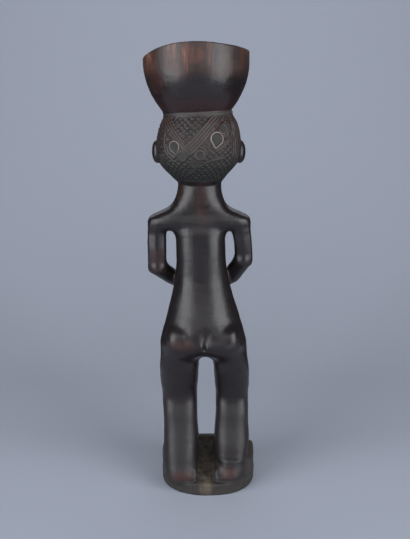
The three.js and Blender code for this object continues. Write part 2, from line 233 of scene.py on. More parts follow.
def dense(stations, step=0.25):
    """Smooth tables of the station values, by cubic pieces whose slopes can't overshoot."""
    table = np.array(stations, float)
    z = table[:, 0]
    fine = np.arange(z[0], z[-1] + step / 2, step)
    gap = np.diff(z)
    place = np.clip(np.searchsorted(z, fine, side="right") - 1, 0, len(gap) - 1)
    t = (fine - z[place]) / gap[place]
    columns = [fine]
    for values in table[:, 1:].T:
        slope = np.diff(values) / gap
        bend = np.zeros_like(values)
        low, high = slope[:-1], slope[1:]
        first = 2 * gap[1:] + gap[:-1]
        second = gap[1:] + 2 * gap[:-1]
        with np.errstate(divide="ignore", invalid="ignore"):
            bend[1:-1] = np.where(low * high > 0, (first + second) / (first / low + second / high), 0)
        bend[0], bend[-1] = slope[0], slope[-1]
        columns.append(
            (2 * t**3 - 3 * t**2 + 1) * values[place]
            + (t**3 - 2 * t**2 + t) * gap[place] * bend[place]
            + (3 * t**2 - 2 * t**3) * values[place + 1]
            + (t**3 - t**2) * gap[place] * bend[place + 1]
        )
    return columns


def join(a, b, blend):
    """The union of two fields, with a fillet about as wide as the blend."""
    near = np.maximum(blend - np.abs(a - b), 0) / blend
    return np.minimum(a, b) - near * near * blend / 4


def common(a, b, blend):
    """What two fields have in common, with an eased edge."""
    return -join(-a, -b, blend)


def smoothstep(low, high, value):
    t = np.clip((value - low) / (high - low), 0, 1)
    return t * t * (3 - 2 * t)


class Column:
    """An upright stretch lofted through level superellipse sections, with knife-cut planes at its back."""

    def __init__(self, stations, ease=2.5, planes=()):
        self.planes = [math.radians(angle) for angle in planes]
        self.table = dense(stations)
        z, x, half, front, back, _ = self.table
        slope = np.maximum(np.abs(np.gradient(half, z)), np.abs(np.gradient((back - front) / 2, z)))
        width = 9
        slope = np.convolve(np.pad(slope, width // 2, mode="edge"), np.ones(width) / width, mode="valid")
        self.lean = 1 / np.sqrt(1 + slope**2)
        self.ease = ease
        self.low, self.high = z[0], z[-1]
        self.box = (
            np.array([(x - half).min(), front.min(), self.low]),
            np.array([(x + half).max(), back.max(), self.high]),
        )

    def __call__(self, p):
        z = p[:, 2]
        x, half, front, back, power = (np.interp(z, self.table[0], column) for column in self.table[1:])
        dx = p[:, 0] - x
        dy = p[:, 1] - (front + back) / 2
        share = (np.abs(dx / half) ** power + np.abs(dy * 2 / (back - front)) ** power) ** (1 / power)
        radial = np.hypot(dx, dy)
        side = (radial - radial / np.maximum(share, 1e-3)) * np.interp(z, self.table[0], self.lean)
        for angle in self.planes:
            plane = dx * math.sin(angle) + (dy - (back - front) / 2) * math.cos(angle)
            side = common(side, plane, 1.0)
        return common(side, np.maximum(z - self.high, self.low - z), self.ease)


class Limb:
    """A round limb through places with a radius each."""

    def __init__(self, places):
        self.places = [np.array(place, float) for place in places]
        every = np.array(self.places)
        radius = every[:, 3].max()
        self.box = (every[:, :3].min(0) - radius, every[:, :3].max(0) + radius)

    def __call__(self, p):
        nearest = np.full(len(p), np.inf)
        for start, end in zip(self.places[:-1], self.places[1:]):
            run = end[:3] - start[:3]
            t = np.clip(((p - start[:3]) @ run) / (run @ run), 0, 1)
            radius = start[3] + (end[3] - start[3]) * t
            away = np.linalg.norm(p - (start[:3] + t[:, None] * run), axis=1) - radius
            nearest = np.minimum(nearest, away)
        return nearest


class Egg:
    """An ellipsoid, turned if asked, whose faces are flatter for a power above 2."""

    def __init__(self, centre, half, turn=None, power=2):
        self.centre = np.array(centre, float)
        self.half = np.array(half, float)
        self.turn = turn
        self.power = power
        reach = self.half.max() * 1.1
        self.box = (self.centre - reach, self.centre + reach)

    def __call__(self, p):
        q = p - self.centre
        if self.turn is not None:
            q = q @ self.turn
        share = (np.abs(q / self.half) ** self.power).sum(1) ** (1 / self.power)
        steep = np.linalg.norm(q / self.half**2, axis=1) / np.maximum(np.linalg.norm(q / self.half, axis=1), 1e-6)
        return (share - 1) / np.maximum(steep, 1e-3)


class Block:
    """A box with eased edges, turned if asked."""

    def __init__(self, low, high, ease, turn=None):
        low, high = np.array(low, float), np.array(high, float)
        self.centre = (low + high) / 2
        self.half = (high - low) / 2 - ease
        self.ease = ease
        self.turn = turn
        reach = np.linalg.norm(high - low) / 2
        self.box = (low, high) if turn is None else (self.centre - reach, self.centre + reach)

    def __call__(self, p):
        q = p - self.centre
        if self.turn is not None:
            q = q @ self.turn
        q = np.abs(q) - self.half
        return np.linalg.norm(np.maximum(q, 0), axis=1) + np.minimum(q.max(axis=1), 0) - self.ease


def turned(axis, degrees):
    """The matrix that turns a shape by an angle about X, Y or Z."""
    cosine, sine = math.cos(math.radians(degrees)), math.sin(math.radians(degrees))
    first, second = {"x": (1, 2), "y": (2, 0), "z": (0, 1)}[axis]
    matrix = np.eye(3)
    matrix[first, first] = matrix[second, second] = cosine
    matrix[first, second], matrix[second, first] = -sine, sine
    return matrix


def log_field(p):
    """Distance to the side of the log that base and feet are cut from."""
    share = (np.abs(p[:, 0] / BASE_HALF) ** BASE_POWER + np.abs(p[:, 1] / BASE_HALF) ** BASE_POWER) ** (1 / BASE_POWER)
    radial = np.hypot(p[:, 0], p[:, 1])
    return radial - radial / np.maximum(share, 1e-3)


def base_field(p):
    top_ease, foot_ease = 2.0, 1.6
    return common(common(log_field(p), p[:, 2] - BASE_HEIGHT, top_ease), -p[:, 2], foot_ease)


# A foot's side view: how high its top is from the toes back to the heel
FOOT_LENGTHS = (-34, -26, -14, -6, 18, 28, 31)
FOOT_HEIGHTS = (14.2, 16.2, 21.5, 25.5, 22.0, 18.0, 15.0)
FOOT_INNER = {"left": 8.6, "right": 4.6}


def foot_field(side):
    """A blocky foot whose outer side is flush with the log."""
    towards = 1 if side == "left" else -1

    def field(p):
        across, along, z = p[:, 0] * towards, p[:, 1], p[:, 2]
        foot = (z - np.interp(along, FOOT_LENGTHS, FOOT_HEIGHTS)) * 0.92
        foot = common(foot, FOOT_INNER[side] - across, 3.5)
        foot = common(foot, log_field(p) + 0.1, 3.0)
        foot = common(foot, along - 33.5, 5.0)
        foot = common(foot, -33.5 - along, 4.0)
        return np.maximum(foot, BASE_HEIGHT - 3 - z)

    return field


def ground_field(p):
    """The wood left between the feet, which rises to the front."""
    x, y, z = p.T
    top = BASE_HEIGHT + 0.2 + 6.0 * smoothstep(34, -24, y) + 0.5 * np.sin(y / 3.1 + x / 5) * smoothstep(33, 20, y)
    ground = common((z - top) * 0.97, np.abs(x - 2.0) - 8.5, 1.0)
    ground = common(ground, log_field(p) + 1.2, 2.5)
    return np.maximum(ground, BASE_HEIGHT - 3 - z)


def seat_blend(p):
    """The seat's domes stand out crisply above and melt into the thighs below."""
    return 2.4 + 6.5 * smoothstep(122.5, 113.0, p[:, 2]) + 3.0 * smoothstep(15, 8, p[:, 1])


CUP_TABLE = dense(CUP_OUTSIDE)
CUP_SLOPE = np.gradient(CUP_TABLE[1], CUP_TABLE[0])


def cup_radius(z):
    return np.interp(z, CUP_TABLE[0], CUP_TABLE[1])


def rim_height(across, along):
    """The rim's height in a direction from the cup's axis: along is 1 at the back."""
    rise = RIM["back_rise"] * along + RIM["arch"] * along**2
    return RIM["side"] + rise - RIM["side_fall"] * across * (1 - along**2)


def cup_field(p):
    x, y, z = p[:, 0] - CUP_X, p[:, 1], p[:, 2]
    rho = np.hypot(x, y)
    lean = 1 / np.sqrt(1 + np.interp(z, CUP_TABLE[0], CUP_SLOPE) ** 2)
    rim = rim_height(x / np.maximum(rho, 1e-6), y / np.maximum(rho, 1e-6))
    solid = common((rho - cup_radius(z)) * lean, z - rim, 0.9)
    solid = np.maximum(solid, CUP_BOTTOM - z)
    share = np.clip((z - CUP_FLOOR) / (HEIGHT - CUP_FLOOR), 0, 1.2)
    wall = 4.2 - 1.3 * share
    floor_top = 323.0
    floor = Egg((CUP_X, 0, floor_top), (37, 37, floor_top - CUP_FLOOR))(p)
    floor = np.where(z > floor_top, -5.0, floor)
    hollow = common((rho - cup_radius(z) + wall) * lean, floor, 3.0)
    return common(solid, -hollow, 1.3)


def collar_field(p):
    """The thin raised ring between the hair and the cup."""
    x = p[:, 0] - COLLAR["x"]
    rho = np.hypot(x, p[:, 1])
    return np.hypot(rho - COLLAR["radius"], p[:, 2] - COLLAR["z"] + COLLAR["tilt"] * x) - COLLAR["half"]


def head_angle(p):
    """Degrees round the head from the middle of the back, towards the figure's left."""
    return np.degrees(np.arctan2(p[:, 0] - HEAD_X, p[:, 1]))


def hair_cover(p):
    """1 on the hair and 0 on the face, the neck and the cup."""
    away = 180 - np.abs(head_angle(p))
    half_angle, middle, half_height = 60.0, 247.5, 23.5
    share = (np.abs(away / half_angle) ** 2.6 + np.abs((p[:, 2] - middle) / half_height) ** 2.6) ** (1 / 2.6)
    beside_face = smoothstep(0.985, 1.045, share)
    return beside_face * smoothstep(HAIR_LOW - 0.8, HAIR_LOW + 0.6, p[:, 2])


HEAD_COLUMN = Column(HEAD, 1.2)
HAIR_STEP = 0.9


def head_field(p):
    """The head, with the hair standing proud of the face."""
    return HEAD_COLUMN(p) + HAIR_STEP * (1 - hair_cover(p)) * smoothstep(236, 240, p[:, 2])


def face_parts():
    """The face, as shapes that are joined to the head or cut from it: shape, blend, cut."""
    front = -27.6
    for side in (-1, 1):
        x = FACE_X + side * EYE_SPREAD
        yield Egg((x, front - 3.0, EYE_Z - 0.4), (8.2, 5.2, 6.0)), 3.0, True
        yield Egg((x, front + 1.2, EYE_Z - 0.6), (5.6, 3.0, 3.3), turned("y", side * 4)), 0.9, False
        yield Block((x - 5.2, front - 5, EYE_Z - 1.15), (x + 5.2, front - 0.2, EYE_Z - 0.35), 0.35, turned("y", side * 4)), 0.5, True
        yield Limb([
            (FACE_X + side * 3.4, front - 0.4, BROW_Z - 1.2, 1.2),
            (FACE_X + side * 9.5, front - 0.3, BROW_Z + 0.6, 1.3),
            (FACE_X + side * 16.5, front + 4.0, BROW_Z - 1.4, 0.9),
        ]), 2.2, False
        yield Egg((FACE_X + side * 3.3, front - 1.4, NOSE_FOOT_Z + 1.2), (2.2, 2.5, 1.9)), 1.0, False
        yield Egg((FACE_X + side * 13.5, front + 6.0, NOSE_FOOT_Z - 0.5), (8, 5.2, 6.5)), 4.0, False
    yield Limb([
        (FACE_X, front + 0.4, BROW_Z - 0.6, 2.0),
        (FACE_X, front - 1.4, EYE_Z - 1.0, 2.2),
        (FACE_X, front - 2.8, NOSE_FOOT_Z + 2.2, 2.9),
    ]), 2.4, False
    yield Egg((FACE_X, front - 3.2, NOSE_FOOT_Z + 1.4), (2.9, 2.9, 2.2)), 1.2, False
    yield Egg((FACE_X, front + 1.6, MOUTH_Z), (8.0, 4.2, 4.6)), 3.0, False
    yield Limb([
        (FACE_X - 5.0, front + 0.3, MOUTH_Z + 0.7, 0.9),
        (FACE_X - 1.6, front - 1.9, MOUTH_Z + 1.4, 1.2),
        (FACE_X + 1.6, front - 1.9, MOUTH_Z + 1.4, 1.2),
        (FACE_X + 5.0, front + 0.3, MOUTH_Z + 0.7, 0.9),
    ]), 0.9, False
    yield Limb([
        (FACE_X - 4.2, front + 0.4, MOUTH_Z - 1.0, 0.9),
        (FACE_X, front - 1.7, MOUTH_Z - 1.6, 1.5),
        (FACE_X + 4.2, front + 0.4, MOUTH_Z - 1.0, 0.9),
    ]), 0.9, False
    yield Egg((FACE_X, front + 6.2, CHIN_Z + 3.0), (6.8, 6.0, 4.2)), 3.0, False


def ear_lobe(side):
    return Egg((FACE_X + side * 29.6, -2.0, EAR_Z + 0.6), (4.3, 6.2, 8.4), turned("x", -6), 2.2)


def ear_parts():
    """Each ear is a round lump with a raised edge round a hollow that faces forward and out."""
    for side in (-1, 1):
        x = FACE_X + side * 29.6
        yield ear_lobe(side), 0.9, False
        yield Egg((x + side * 2.6, -6.4, EAR_Z + 1.0), (3.0, 3.6, 5.6), turned("x", -6)), 0.8, True
        yield Egg((x + side * 0.6, -6.2, EAR_Z - 1.4), (1.6, 1.9, 2.4)), 0.8, False


# A hand's palm, and where its four fingers start and end, from the upper one down
HANDS = {
    "left": {"palm": (14.6, -21.6, 149.6), "tip": (6.4, -24.2, 147.6), "towards": 1},
    "right": {"palm": (-5.4, -21.6, 150.2), "tip": (2.6, -24.2, 147.8), "towards": -1},
}
FINGER_RADIUS = 1.25
FINGER_GAP = 2.35


def hand_parts():
    for hand in HANDS.values():
        x, y, z = hand["palm"]
        towards = hand["towards"]
        yield Egg((x, y, z), (6.2, 2.7, 5.6), turned("y", towards * 16), power=2.6), 1.8, False
        tip_x, tip_y, tip_z = hand["tip"]
        for finger in range(4):
            drop = (1.5 - finger) * FINGER_GAP
            short = 1.4 if finger in (0, 3) else 0.0
            start = (x - towards * 1.0, y - 1.2, z + drop * 1.05, FINGER_RADIUS + 0.1)
            end = (tip_x + towards * short, tip_y + 0.25 * abs(drop) - 0.2, tip_z + drop, FINGER_RADIUS - 0.1)
            yield Limb([start, end]), 0.35, False
        yield Limb([
            (x + towards * 2.5, y - 0.6, z + 4.2, 1.5),
            (x - towards * 3.2, y - 0.8, z + 6.6, 1.25),
        ]), 0.7, False


def toe_parts():
    """Grooves between the toes, on the front of each foot."""
    for middle, towards in ((21.0, 1), (-17.5, -1)):
        for toe in range(4):
            x = middle + towards * (toe - 1.7) * 4.6
            yield Block((x - 0.45, -40, 10.5), (x + 0.45, -25.5, 24), 0.3, turned("z", -towards * 4)), 1.2, True


def body_parts():
    """Every part of the carving, in the order in which it is joined or cut: shape, blend, cut."""
    yield Column(TRUNK, 4), 1.0, False
    yield Column(SHOULDERS, 4), 5.0, False
    for side in ("left", "right"):
        yield Column(LEGS[side], 4), 6.0, False
        outward = 1 if side == "left" else -1
        yield Column(UPPER_ARMS[side], 3, (outward * 27, outward * -22)), 3.5, False
        yield Limb(FOREARMS[side]), 3.0, False
    for x, y, z, half in SEAT_DOMES:
        yield Egg((x, y, z), half, power=2.4), seat_blend, False
    yield Limb([(1.9, 27.0, 134, 0.8), (2.4, 28.0, 127, 1.2), (2.9, 27.4, 119, 1.3), (3.1, 25, 113, 0.9)]), 1.6, True
    for side in (-1, 1):
        x = 5.9 + side * 10.0
        yield Limb([(x, -10, 192, 8.5), (x + side, -23.5, 189, 4.2)]), 3.0, False
        yield Egg((x + side * 1.2, -27.6, 188.4), (1.4, 1.3, 1.4)), 0.6, False
    yield Egg((4.7, -21.2, 139.5), (3.3, 3.0, 3.3)), 1.2, False
    yield from hand_parts()
    yield Part(head_field, HEAD_COLUMN.box), 0.8, False
    yield from face_parts()
    yield from ear_parts()
    yield Part(cup_field, ((-32, -40, 276), (50, 40, 334))), 0.8, False
    yield Part(collar_field, ((-20, -28, 279), (35, 28, 287))), 0.9, False
    yield Part(foot_field("left"), ((6, -37, 4), (38, 34, 30))), 2.5, False
    yield Part(foot_field("right"), ((-38, -37, 4), (-3, 34, 30))), 2.5, False
    yield Part(base_field, ((-37, -37, -1), (37, 37, 11))), 1.2, False
    yield Part(ground_field, ((-8, -37, 4), (12, 36, 20))), 1.5, False
    yield Block((-8, -34.5, 6), (12, -28, 18.0), 1.6), 1.2, False
    yield from toe_parts()


class Part:
    """A field that is a plain function, with the box it fills."""

    def __init__(self, field, box):
        self.field = field
        self.box = (np.array(box[0], float), np.array(box[1], float))

    def __call__(self, p):
        return self.field(p)


PARTS = list(body_parts())


def carving_field(p, margin=6.0):
    """Distance from points to the carving, each part counted only near its own box."""
    total = np.full(len(p), 60.0)
    for shape, blend, cut in PARTS:
        near = np.all((p > shape.box[0] - margin) & (p < shape.box[1] + margin), axis=1)
        if not near.any():
            continue
        value = shape(p[near])
        width = blend(p[near]) if callable(blend) else blend
        total[near] = common(total[near], -value, width) if cut else join(total[near], value, width)
    return total


def field_slope(p, reach=0.05):
    slope = np.empty_like(p)
    for axis in range(3):
        shift = np.zeros(3)
        shift[axis] = reach
        slope[:, axis] = (carving_field(p + shift) - carving_field(p - shift)) / (2 * reach)
    return slope


def settle(p, rounds):
    """Moves points onto the carving's surface."""
    for _ in range(rounds):
        away = np.clip(carving_field(p), -1, 1)
        slope = field_slope(p)
        p = p - (away / np.maximum((slope**2).sum(1), 0.05))[:, None] * slope
    return p


# The mesh

def surface_net(low, high, step, coarse=3):
    """Quads over the field's surface, with one point in each cell that it crosses."""
    count = np.ceil((high - low) / step).astype(int) + 1
    axes = [low[k] + step * np.arange(count[k]) for k in range(3)]
    rough_axes = [low[k] + step * coarse * np.arange(-(-(count[k] - 1) // coarse) + 1) for k in range(3)]
    rough_points = np.stack(np.meshgrid(*rough_axes, indexing="ij"), -1).reshape(-1, 3)
    rough = carving_field(rough_points).reshape([len(axis) for axis in rough_axes])

    def spread(grid):
        for axis in range(3):
            grid = np.repeat(grid, coarse, axis=axis)
        return grid[: count[0], : count[1], : count[2]]

    values = spread(rough).copy()
    band = spread(np.abs(rough) < step * coarse * 2)
    for axis in range(3):
        band = band | np.roll(band, coarse, axis) | np.roll(band, -coarse, axis)
    where = np.argwhere(band)
    values[band] = carving_field(np.stack([axes[k][where[:, k]] for k in range(3)], -1))
    inside = values < 0
    corners = np.zeros(count - 1, np.int8)
    for i in (0, 1):
        for j in (0, 1):
            for k in (0, 1):
                corners += inside[i:count[0] - 1 + i, j:count[1] - 1 + j, k:count[2] - 1 + k]
    crossed = (corners > 0) & (corners < 8)
    cells = np.argwhere(crossed)
    number = np.full(crossed.shape, -1)
    number[crossed] = np.arange(len(cells))
    total = np.zeros((len(cells), 3))
    hits = np.zeros(len(cells))
    for axis in range(3):
        others = [k for k in range(3) if k != axis]
        for a in (0, 1):
            for b in (0, 1):
                start = cells.copy()
                start[:, others[0]] += a
                start[:, others[1]] += b
                end = start.copy()
                end[:, axis] += 1
                f0, f1 = values[tuple(start.T)], values[tuple(end.T)]
                cut = (f0 < 0) != (f1 < 0)
                place = start.astype(float)
                place[:, axis] += np.where(cut, f0 / np.where(cut, f0 - f1, 1), 0)
                total[cut] += place[cut]
                hits[cut] += 1
    points = low + step * total / hits[:, None]
    quads = []
    for axis in range(3):
        b, c = (axis + 1) % 3, (axis + 2) % 3
        near = [slice(None)] * 3
        far = [slice(None)] * 3
        near[axis], far[axis] = slice(0, -1), slice(1, None)
        edges = np.argwhere(inside[tuple(near)] != inside[tuple(far)])
        outward = inside[tuple(near)][tuple(edges.T)]
        ring = []
        for step_b, step_c in ((-1, -1), (0, -1), (0, 0), (-1, 0)):
            cell = edges.copy()
            cell[:, b] += step_b
            cell[:, c] += step_c
            ring.append(number[tuple(cell.T)])
        quad = np.stack(ring, 1)
        quad[~outward] = quad[~outward][:, ::-1]
        quads.append(quad)
    return points, np.concatenate(quads)


def relaxed(points, edges, rounds):
    """Evens out the mesh along the surface, then puts it back onto the surface."""
    ends = np.concatenate([edges, edges[:, ::-1]])
    count = np.bincount(ends[:, 0], minlength=len(points))[:, None]
    for _ in range(rounds):
        total = np.stack([np.bincount(ends[:, 0], points[ends[:, 1], k], len(points)) for k in range(3)], 1)
        points = settle(points + 0.5 * (total / count - points), 1)
    return points


def mesh_arrays(mesh):
    points = np.empty(len(mesh.vertices) * 3)
    mesh.vertices.foreach_get("co", points)
    edges = np.empty(len(mesh.edges) * 2, int)
    mesh.edges.foreach_get("vertices", edges)
    return points.reshape(-1, 3) / MM, edges.reshape(-1, 2)


def place_points(mesh, points):
    mesh.vertices.foreach_set("co", (points * MM).ravel())
    mesh.update()


def fine_zone(p, level):
    """Where the mesh is cut finer: at level 1 wherever small shapes are, at level 2 on the hair."""
    x, y, z = p.T
    zone = (hair_cover(p) > 0.02) & (z < 287) | (z > 278) & (z < 286.5)
    if level == 1:
        face = (z > 236) & (z < 272) & (y < -15)
        hands = (y < -18) & (z > 140) & (z < 161) & (np.abs(x - 4.7) < 19)
        rim = z > 319
        toes = (y < -22) & (z > 9) & (z < 24)
        between_feet = (z < 19) & (z > 7) & (np.abs(x - 2) < 9)
        breasts = (y < -25) & (z > 184) & (z < 193)
        zone = zone | face | hands | rim | toes | between_feet | breasts
    return zone


def bent_zone(p, edges, degrees):
    """The points at and beside which the surface turns by more than an angle over one edge."""
    slope = field_slope(p)
    slope /= np.maximum(np.linalg.norm(slope, axis=1), 1e-6)[:, None]
    turn = (slope[edges[:, 0]] * slope[edges[:, 1]]).sum(1)
    bent = np.zeros(len(p), bool)
    bent[edges[turn < math.cos(math.radians(degrees))].ravel()] = True
    beside = bent.copy()
    beside[edges[bent[edges].any(1)].ravel()] = True
    return beside


def halve(mesh, zone):
    """Cuts the edges within a zone of points in two."""
    bm = bmesh.new()
    bm.from_mesh(mesh)
    edges = [edge for edge in bm.edges if zone[edge.verts[0].index] and zone[edge.verts[1].index]]
    bmesh.ops.subdivide_edges(bm, edges=edges, cuts=1, use_grid_fill=True)
    bmesh.ops.triangulate(bm, faces=[face for face in bm.faces if len(face.verts) > 4])
    bm.to_mesh(mesh)
    bm.free()


def carving_mesh(step):
    low = np.array([-42.0, -44.0, -4.0])
    high = np.array([54.0, 44.0, 336.0])
    points, quads = surface_net(low, high, step)
    mesh = bpy.data.meshes.new(PIECE)
    mesh.from_pydata((points * MM).tolist(), [], quads.tolist())
    _, edges = mesh_arrays(mesh)
    points = relaxed(settle(points, 2), edges, 3)
    place_points(mesh, points)
    for level, degrees in ((1, 20), (2, 24)):
        halve(mesh, fine_zone(points, level) | bent_zone(points, edges, degrees))
        points, edges = mesh_arrays(mesh)
        points = relaxed(settle(points, 1), edges, 1)
        place_points(mesh, points)
    points = relaxed(points, edges, 1)
    points[:, 2] = np.maximum(points[:, 2], 0)
    place_points(mesh, points)
    mesh.shade_smooth()
    return mesh


# The carved hair

PYRAMID = {"width": 6.1, "height": 6.0, "u": 0.7, "z": 277.6}
LEFT_EDGE = [(32.0, 283.0), (24.1, 276.4), (17.6, 271.0), (13.7, 267.0), (9.8, 260.8), (6.6, 255.4)]
RIGHT_EDGE = [(-26.0, 283.0), (-20.6, 279.2), (-13.9, 275.4), (-10.3, 272.4), (-6.1, 268.1), (-1.2, 262.4), (4.4, 256.5)]

# Raised bands: the path of the outermost ridge, how many ridges, and to which side the others lie
BANDS = [
    {"path": LEFT_EDGE, "count": 3, "side": 1, "gap": 1.9, "rise": 0.85},
    {"path": RIGHT_EDGE, "count": 4, "side": 1, "gap": 1.9, "rise": 0.9},
    {"path": [(-31.6, 279.5), (-30.8, 272.0), (-28.4, 267.2), (-20.6, 262.2), (-13.0, 257.6)], "count": 2, "side": 1,
     "gap": 1.9, "rise": 0.8},
    {"path": [(-27.5, 282.0), (-25.5, 274.0), (-22.8, 268.4)], "count": 1, "side": 1, "gap": 1.9, "rise": 0.5},
    {"path": [(7.5, 241.2), (0.2, 246.2), (-5.4, 249.7), (-12.2, 251.8), (-20.0, 252.6)], "count": 1, "side": 1,
     "gap": 1.6, "rise": 0.7},
    {"path": [(25.4, 262.0), (24.6, 258.4), (22.2, 255.4), (18.0, 252.6)], "count": 1, "side": 1, "gap": 1.7,
     "rise": 0.75},
    {"path": [(27.6, 263.0), (27.0, 258.0), (24.4, 254.0), (19.6, 250.6)], "count": 1, "side": 1, "gap": 1.7,
     "rise": 0.5},
    {"path": [(13.6, 263.4), (11.6, 260.6), (9.4, 258.0)], "count": 1, "side": 1, "gap": 2.4, "rise": 1.1},
    {"path": [(5.2, 255.8), (4.0, 258.2), (1.9, 259.9), (-0.6, 260.6), (-3.2, 259.9), (-5.4, 257.4)], "count": 1,
     "side": 1, "gap": 1.8, "rise": 0.75},
    {"path": [(29.6, 276.5), (27.6, 269.0), (27.4, 264.0)], "count": 1, "side": 1, "gap": 2.0, "rise": 0.45},
]

# Studs: a sunk disc inside a raised ring, which runs out into a tip if it has one
STUDS = [
    {"at": (-13.4, 266.2), "radius": 4.45, "tip": (-12.2, 260.3), "rise": 1.25, "line": 0.95},
    {"at": (17.7, 260.7), "radius": 3.75, "tip": (16.5, 256.0), "rise": 0.95, "line": 0.85},
    {"at": (12.0, 254.2), "radius": 3.3, "tip": (10.8, 251.4), "rise": 0.4, "line": 0.8},
    {"at": (-1.1, 255.1), "radius": 3.3, "tip": None, "rise": 0.6, "line": 0.8},
    {"at": (-5.7, 261.6), "radius": 1.9, "tip": (-5.9, 263.4), "rise": 0.15, "line": 0.7},
    {"at": (-19.2, 273.1), "radius": 3.5, "tip": None, "rise": 0.5, "line": 0.85},
    {"at": (22.8, 271.0), "radius": 1.9, "tip": None, "rise": 0.5, "line": 0.7},
    {"at": (3.8, 248.3), "radius": 2.6, "tip": (1.8, 248.5), "rise": 0.2, "line": 0.7},
]
RECESS = [(-20.6, 279.0), (-12.6, 274.2), (-14.6, 271.6), (-17.4, 275.6), (-22.0, 277.4)]


def hair_places(p):
    """Millimetres round the head and up it."""
    return np.radians(head_angle(p)) * HAIR_RADIUS, p[:, 2]


def ridge(distance, half):
    """A rounded ridge, 1 on its line and 0 at its half width."""
    return 0.5 + 0.5 * np.cos(np.pi * np.clip(np.abs(distance) / half, 0, 1))


def path_place(u, z, path):
    """Distance to a path, positive on its left as it runs, and how far places are beyond its ends."""
    best = np.full(len(u), 1e3)
    signed = np.zeros(len(u))
    beyond = np.zeros(len(u))
    for number, ((u0, z0), (u1, z1)) in enumerate(zip(path[:-1], path[1:])):
        du, dz = u1 - u0, z1 - z0
        length = math.hypot(du, dz)
        t = ((u - u0) * du + (z - z0) * dz) / length**2
        inner = np.clip(t, 0, 1)
        away = np.hypot(u - u0 - inner * du, z - z0 - inner * dz)
        line = (du * (z - z0) - dz * (u - u0)) / length
        closer = away < best
        past = np.zeros(len(u))
        if number == 0:
            past = np.maximum(past, -t * length)
        if number == len(path) - 2:
            past = np.maximum(past, (t - 1) * length)
        best = np.where(closer, away, best)
        signed = np.where(closer, np.where(past > 0, line, away * np.sign(line)), signed)
        beyond = np.where(closer, past, beyond)
    return signed, beyond


def drop_distance(u, z, stud):
    """Distance to the outline of a disc that may run out into a tip."""
    du, dz = u - stud["at"][0], z - stud["at"][1]
    rho = np.hypot(du, dz)
    if stud["tip"] is None:
        return rho - stud["radius"]
    way = np.array(stud["tip"]) - np.array(stud["at"])
    reach = np.linalg.norm(way)
    way /= reach
    end = 0.5 if reach > stud["radius"] * 0.9 else stud["radius"] * 0.7
    along = du * way[0] + dz * way[1]
    aside = np.abs(du * way[1] - dz * way[0])
    lean = (stud["radius"] - end) / reach
    flat = math.sqrt(max(1 - lean * lean, 1e-4))
    turn = -lean * aside + flat * along
    cone = flat * aside + lean * along - stud["radius"]
    tip = np.hypot(aside, along - reach) - end
    return np.where(turn < 0, rho - stud["radius"], np.where(turn > flat * reach, tip, cone))


def inside_polygon(u, z, corners, soft):
    """1 inside a polygon and 0 outside, easing over its edge."""
    inside = np.zeros(len(u), bool)
    near = np.full(len(u), 1e3)
    for (u0, z0), (u1, z1) in zip(corners, corners[1:] + corners[:1]):
        crosses = (z0 > z) != (z1 > z)
        inside ^= crosses & (u < (u1 - u0) * (z - z0) / (z1 - z0 + 1e-9) + u0)
        du, dz = u1 - u0, z1 - z0
        t = np.clip(((u - u0) * du + (z - z0) * dz) / (du * du + dz * dz), 0, 1)
        near = np.minimum(near, np.hypot(u - u0 - t * du, z - z0 - t * dz))
    return smoothstep(-soft, soft, np.where(inside, near, -near))


def hair_relief(p):
    """What the hair's carving needs at each point, as named values."""
    u, z = hair_places(p)
    ears = np.minimum(ear_lobe(-1)(p), ear_lobe(1)(p))
    hair = hair_cover(p) * smoothstep(HAIR_HIGH + 0.5, HAIR_HIGH - 0.7, z + COLLAR["tilt"] * (p[:, 0] - COLLAR["x"]))
    hair = hair * smoothstep(0.3, 1.3, ears)
    raised = np.zeros(len(p))
    taken = np.zeros(len(p))
    line = np.zeros(len(p))
    for band in BANDS:
        away, beyond = path_place(u, z, band["path"])
        away = away * band["side"]
        gap = band["gap"]
        width = (band["count"] - 1) * gap
        on = smoothstep(-0.75 * gap, -0.45 * gap, away) * smoothstep(width + 0.75 * gap, width + 0.45 * gap, away)
        on = on * smoothstep(1.2, 0.0, beyond)
        wave = ridge((away + gap / 2) % gap - gap / 2, gap / 2)
        outer = 1 + 0.25 * ridge(away, gap)
        raised = np.where(on > taken, (wave * outer * band["rise"] - 0.35) * on, raised)
        line = np.maximum(line, on * wave * band["rise"] * 0.5)
        taken = np.maximum(taken, on)
    disc = np.zeros(len(p))
    for stud in STUDS:
        away = drop_distance(u, z, stud)
        cover = smoothstep(stud["line"] * 1.5, stud["line"] * 0.9, away)
        floor = smoothstep(-stud["line"] * 0.55, -stud["line"] * 1.15, away)
        height = stud["rise"] * ridge(away, stud["line"]) - 0.3 * floor - 0.25 * (away > 0)
        raised = np.where(cover > 0.5, height, raised)
        taken = np.maximum(taken, cover)
        line = np.where(cover > 0.5, ridge(away, stud["line"]) * min(stud["rise"], 1.0), line)
        disc = np.maximum(disc, floor)
    recess = inside_polygon(u, z, RECESS, 0.5) * (1 - disc)
    raised = raised * (1 - recess) - 1.0 * recess
    taken = np.maximum(taken, recess)
    left, _ = path_place(u, z, LEFT_EDGE)
    right, _ = path_place(u, z, RIGHT_EDGE)
    wedge = smoothstep(4.0, 5.0, left) * smoothstep(6.0, 7.0, right) * (z > 255)
    net = hair * wedge * (1 - taken)
    rest = hair * (1 - wedge) * (1 - taken)
    beside = smoothstep(25, 30, np.abs(u)) * smoothstep(243, 248, z)
    return {
        "around": u * MM,
        "up": z * MM,
        "hair": hair,
        "net": net,
        "lozenge": rest * (1 - beside),
        "strands": rest * beside,
        "motif": hair * taken * raised,
        "stud": hair * disc,
        # how strongly a raised ridge line stands out, which the finish paints as a pale highlight
        "line": hair * line,
        "recess": hair * recess,
        "collar": smoothstep(0.8, 0.2, collar_field(p)),
    }


# Wear, dust and hollows

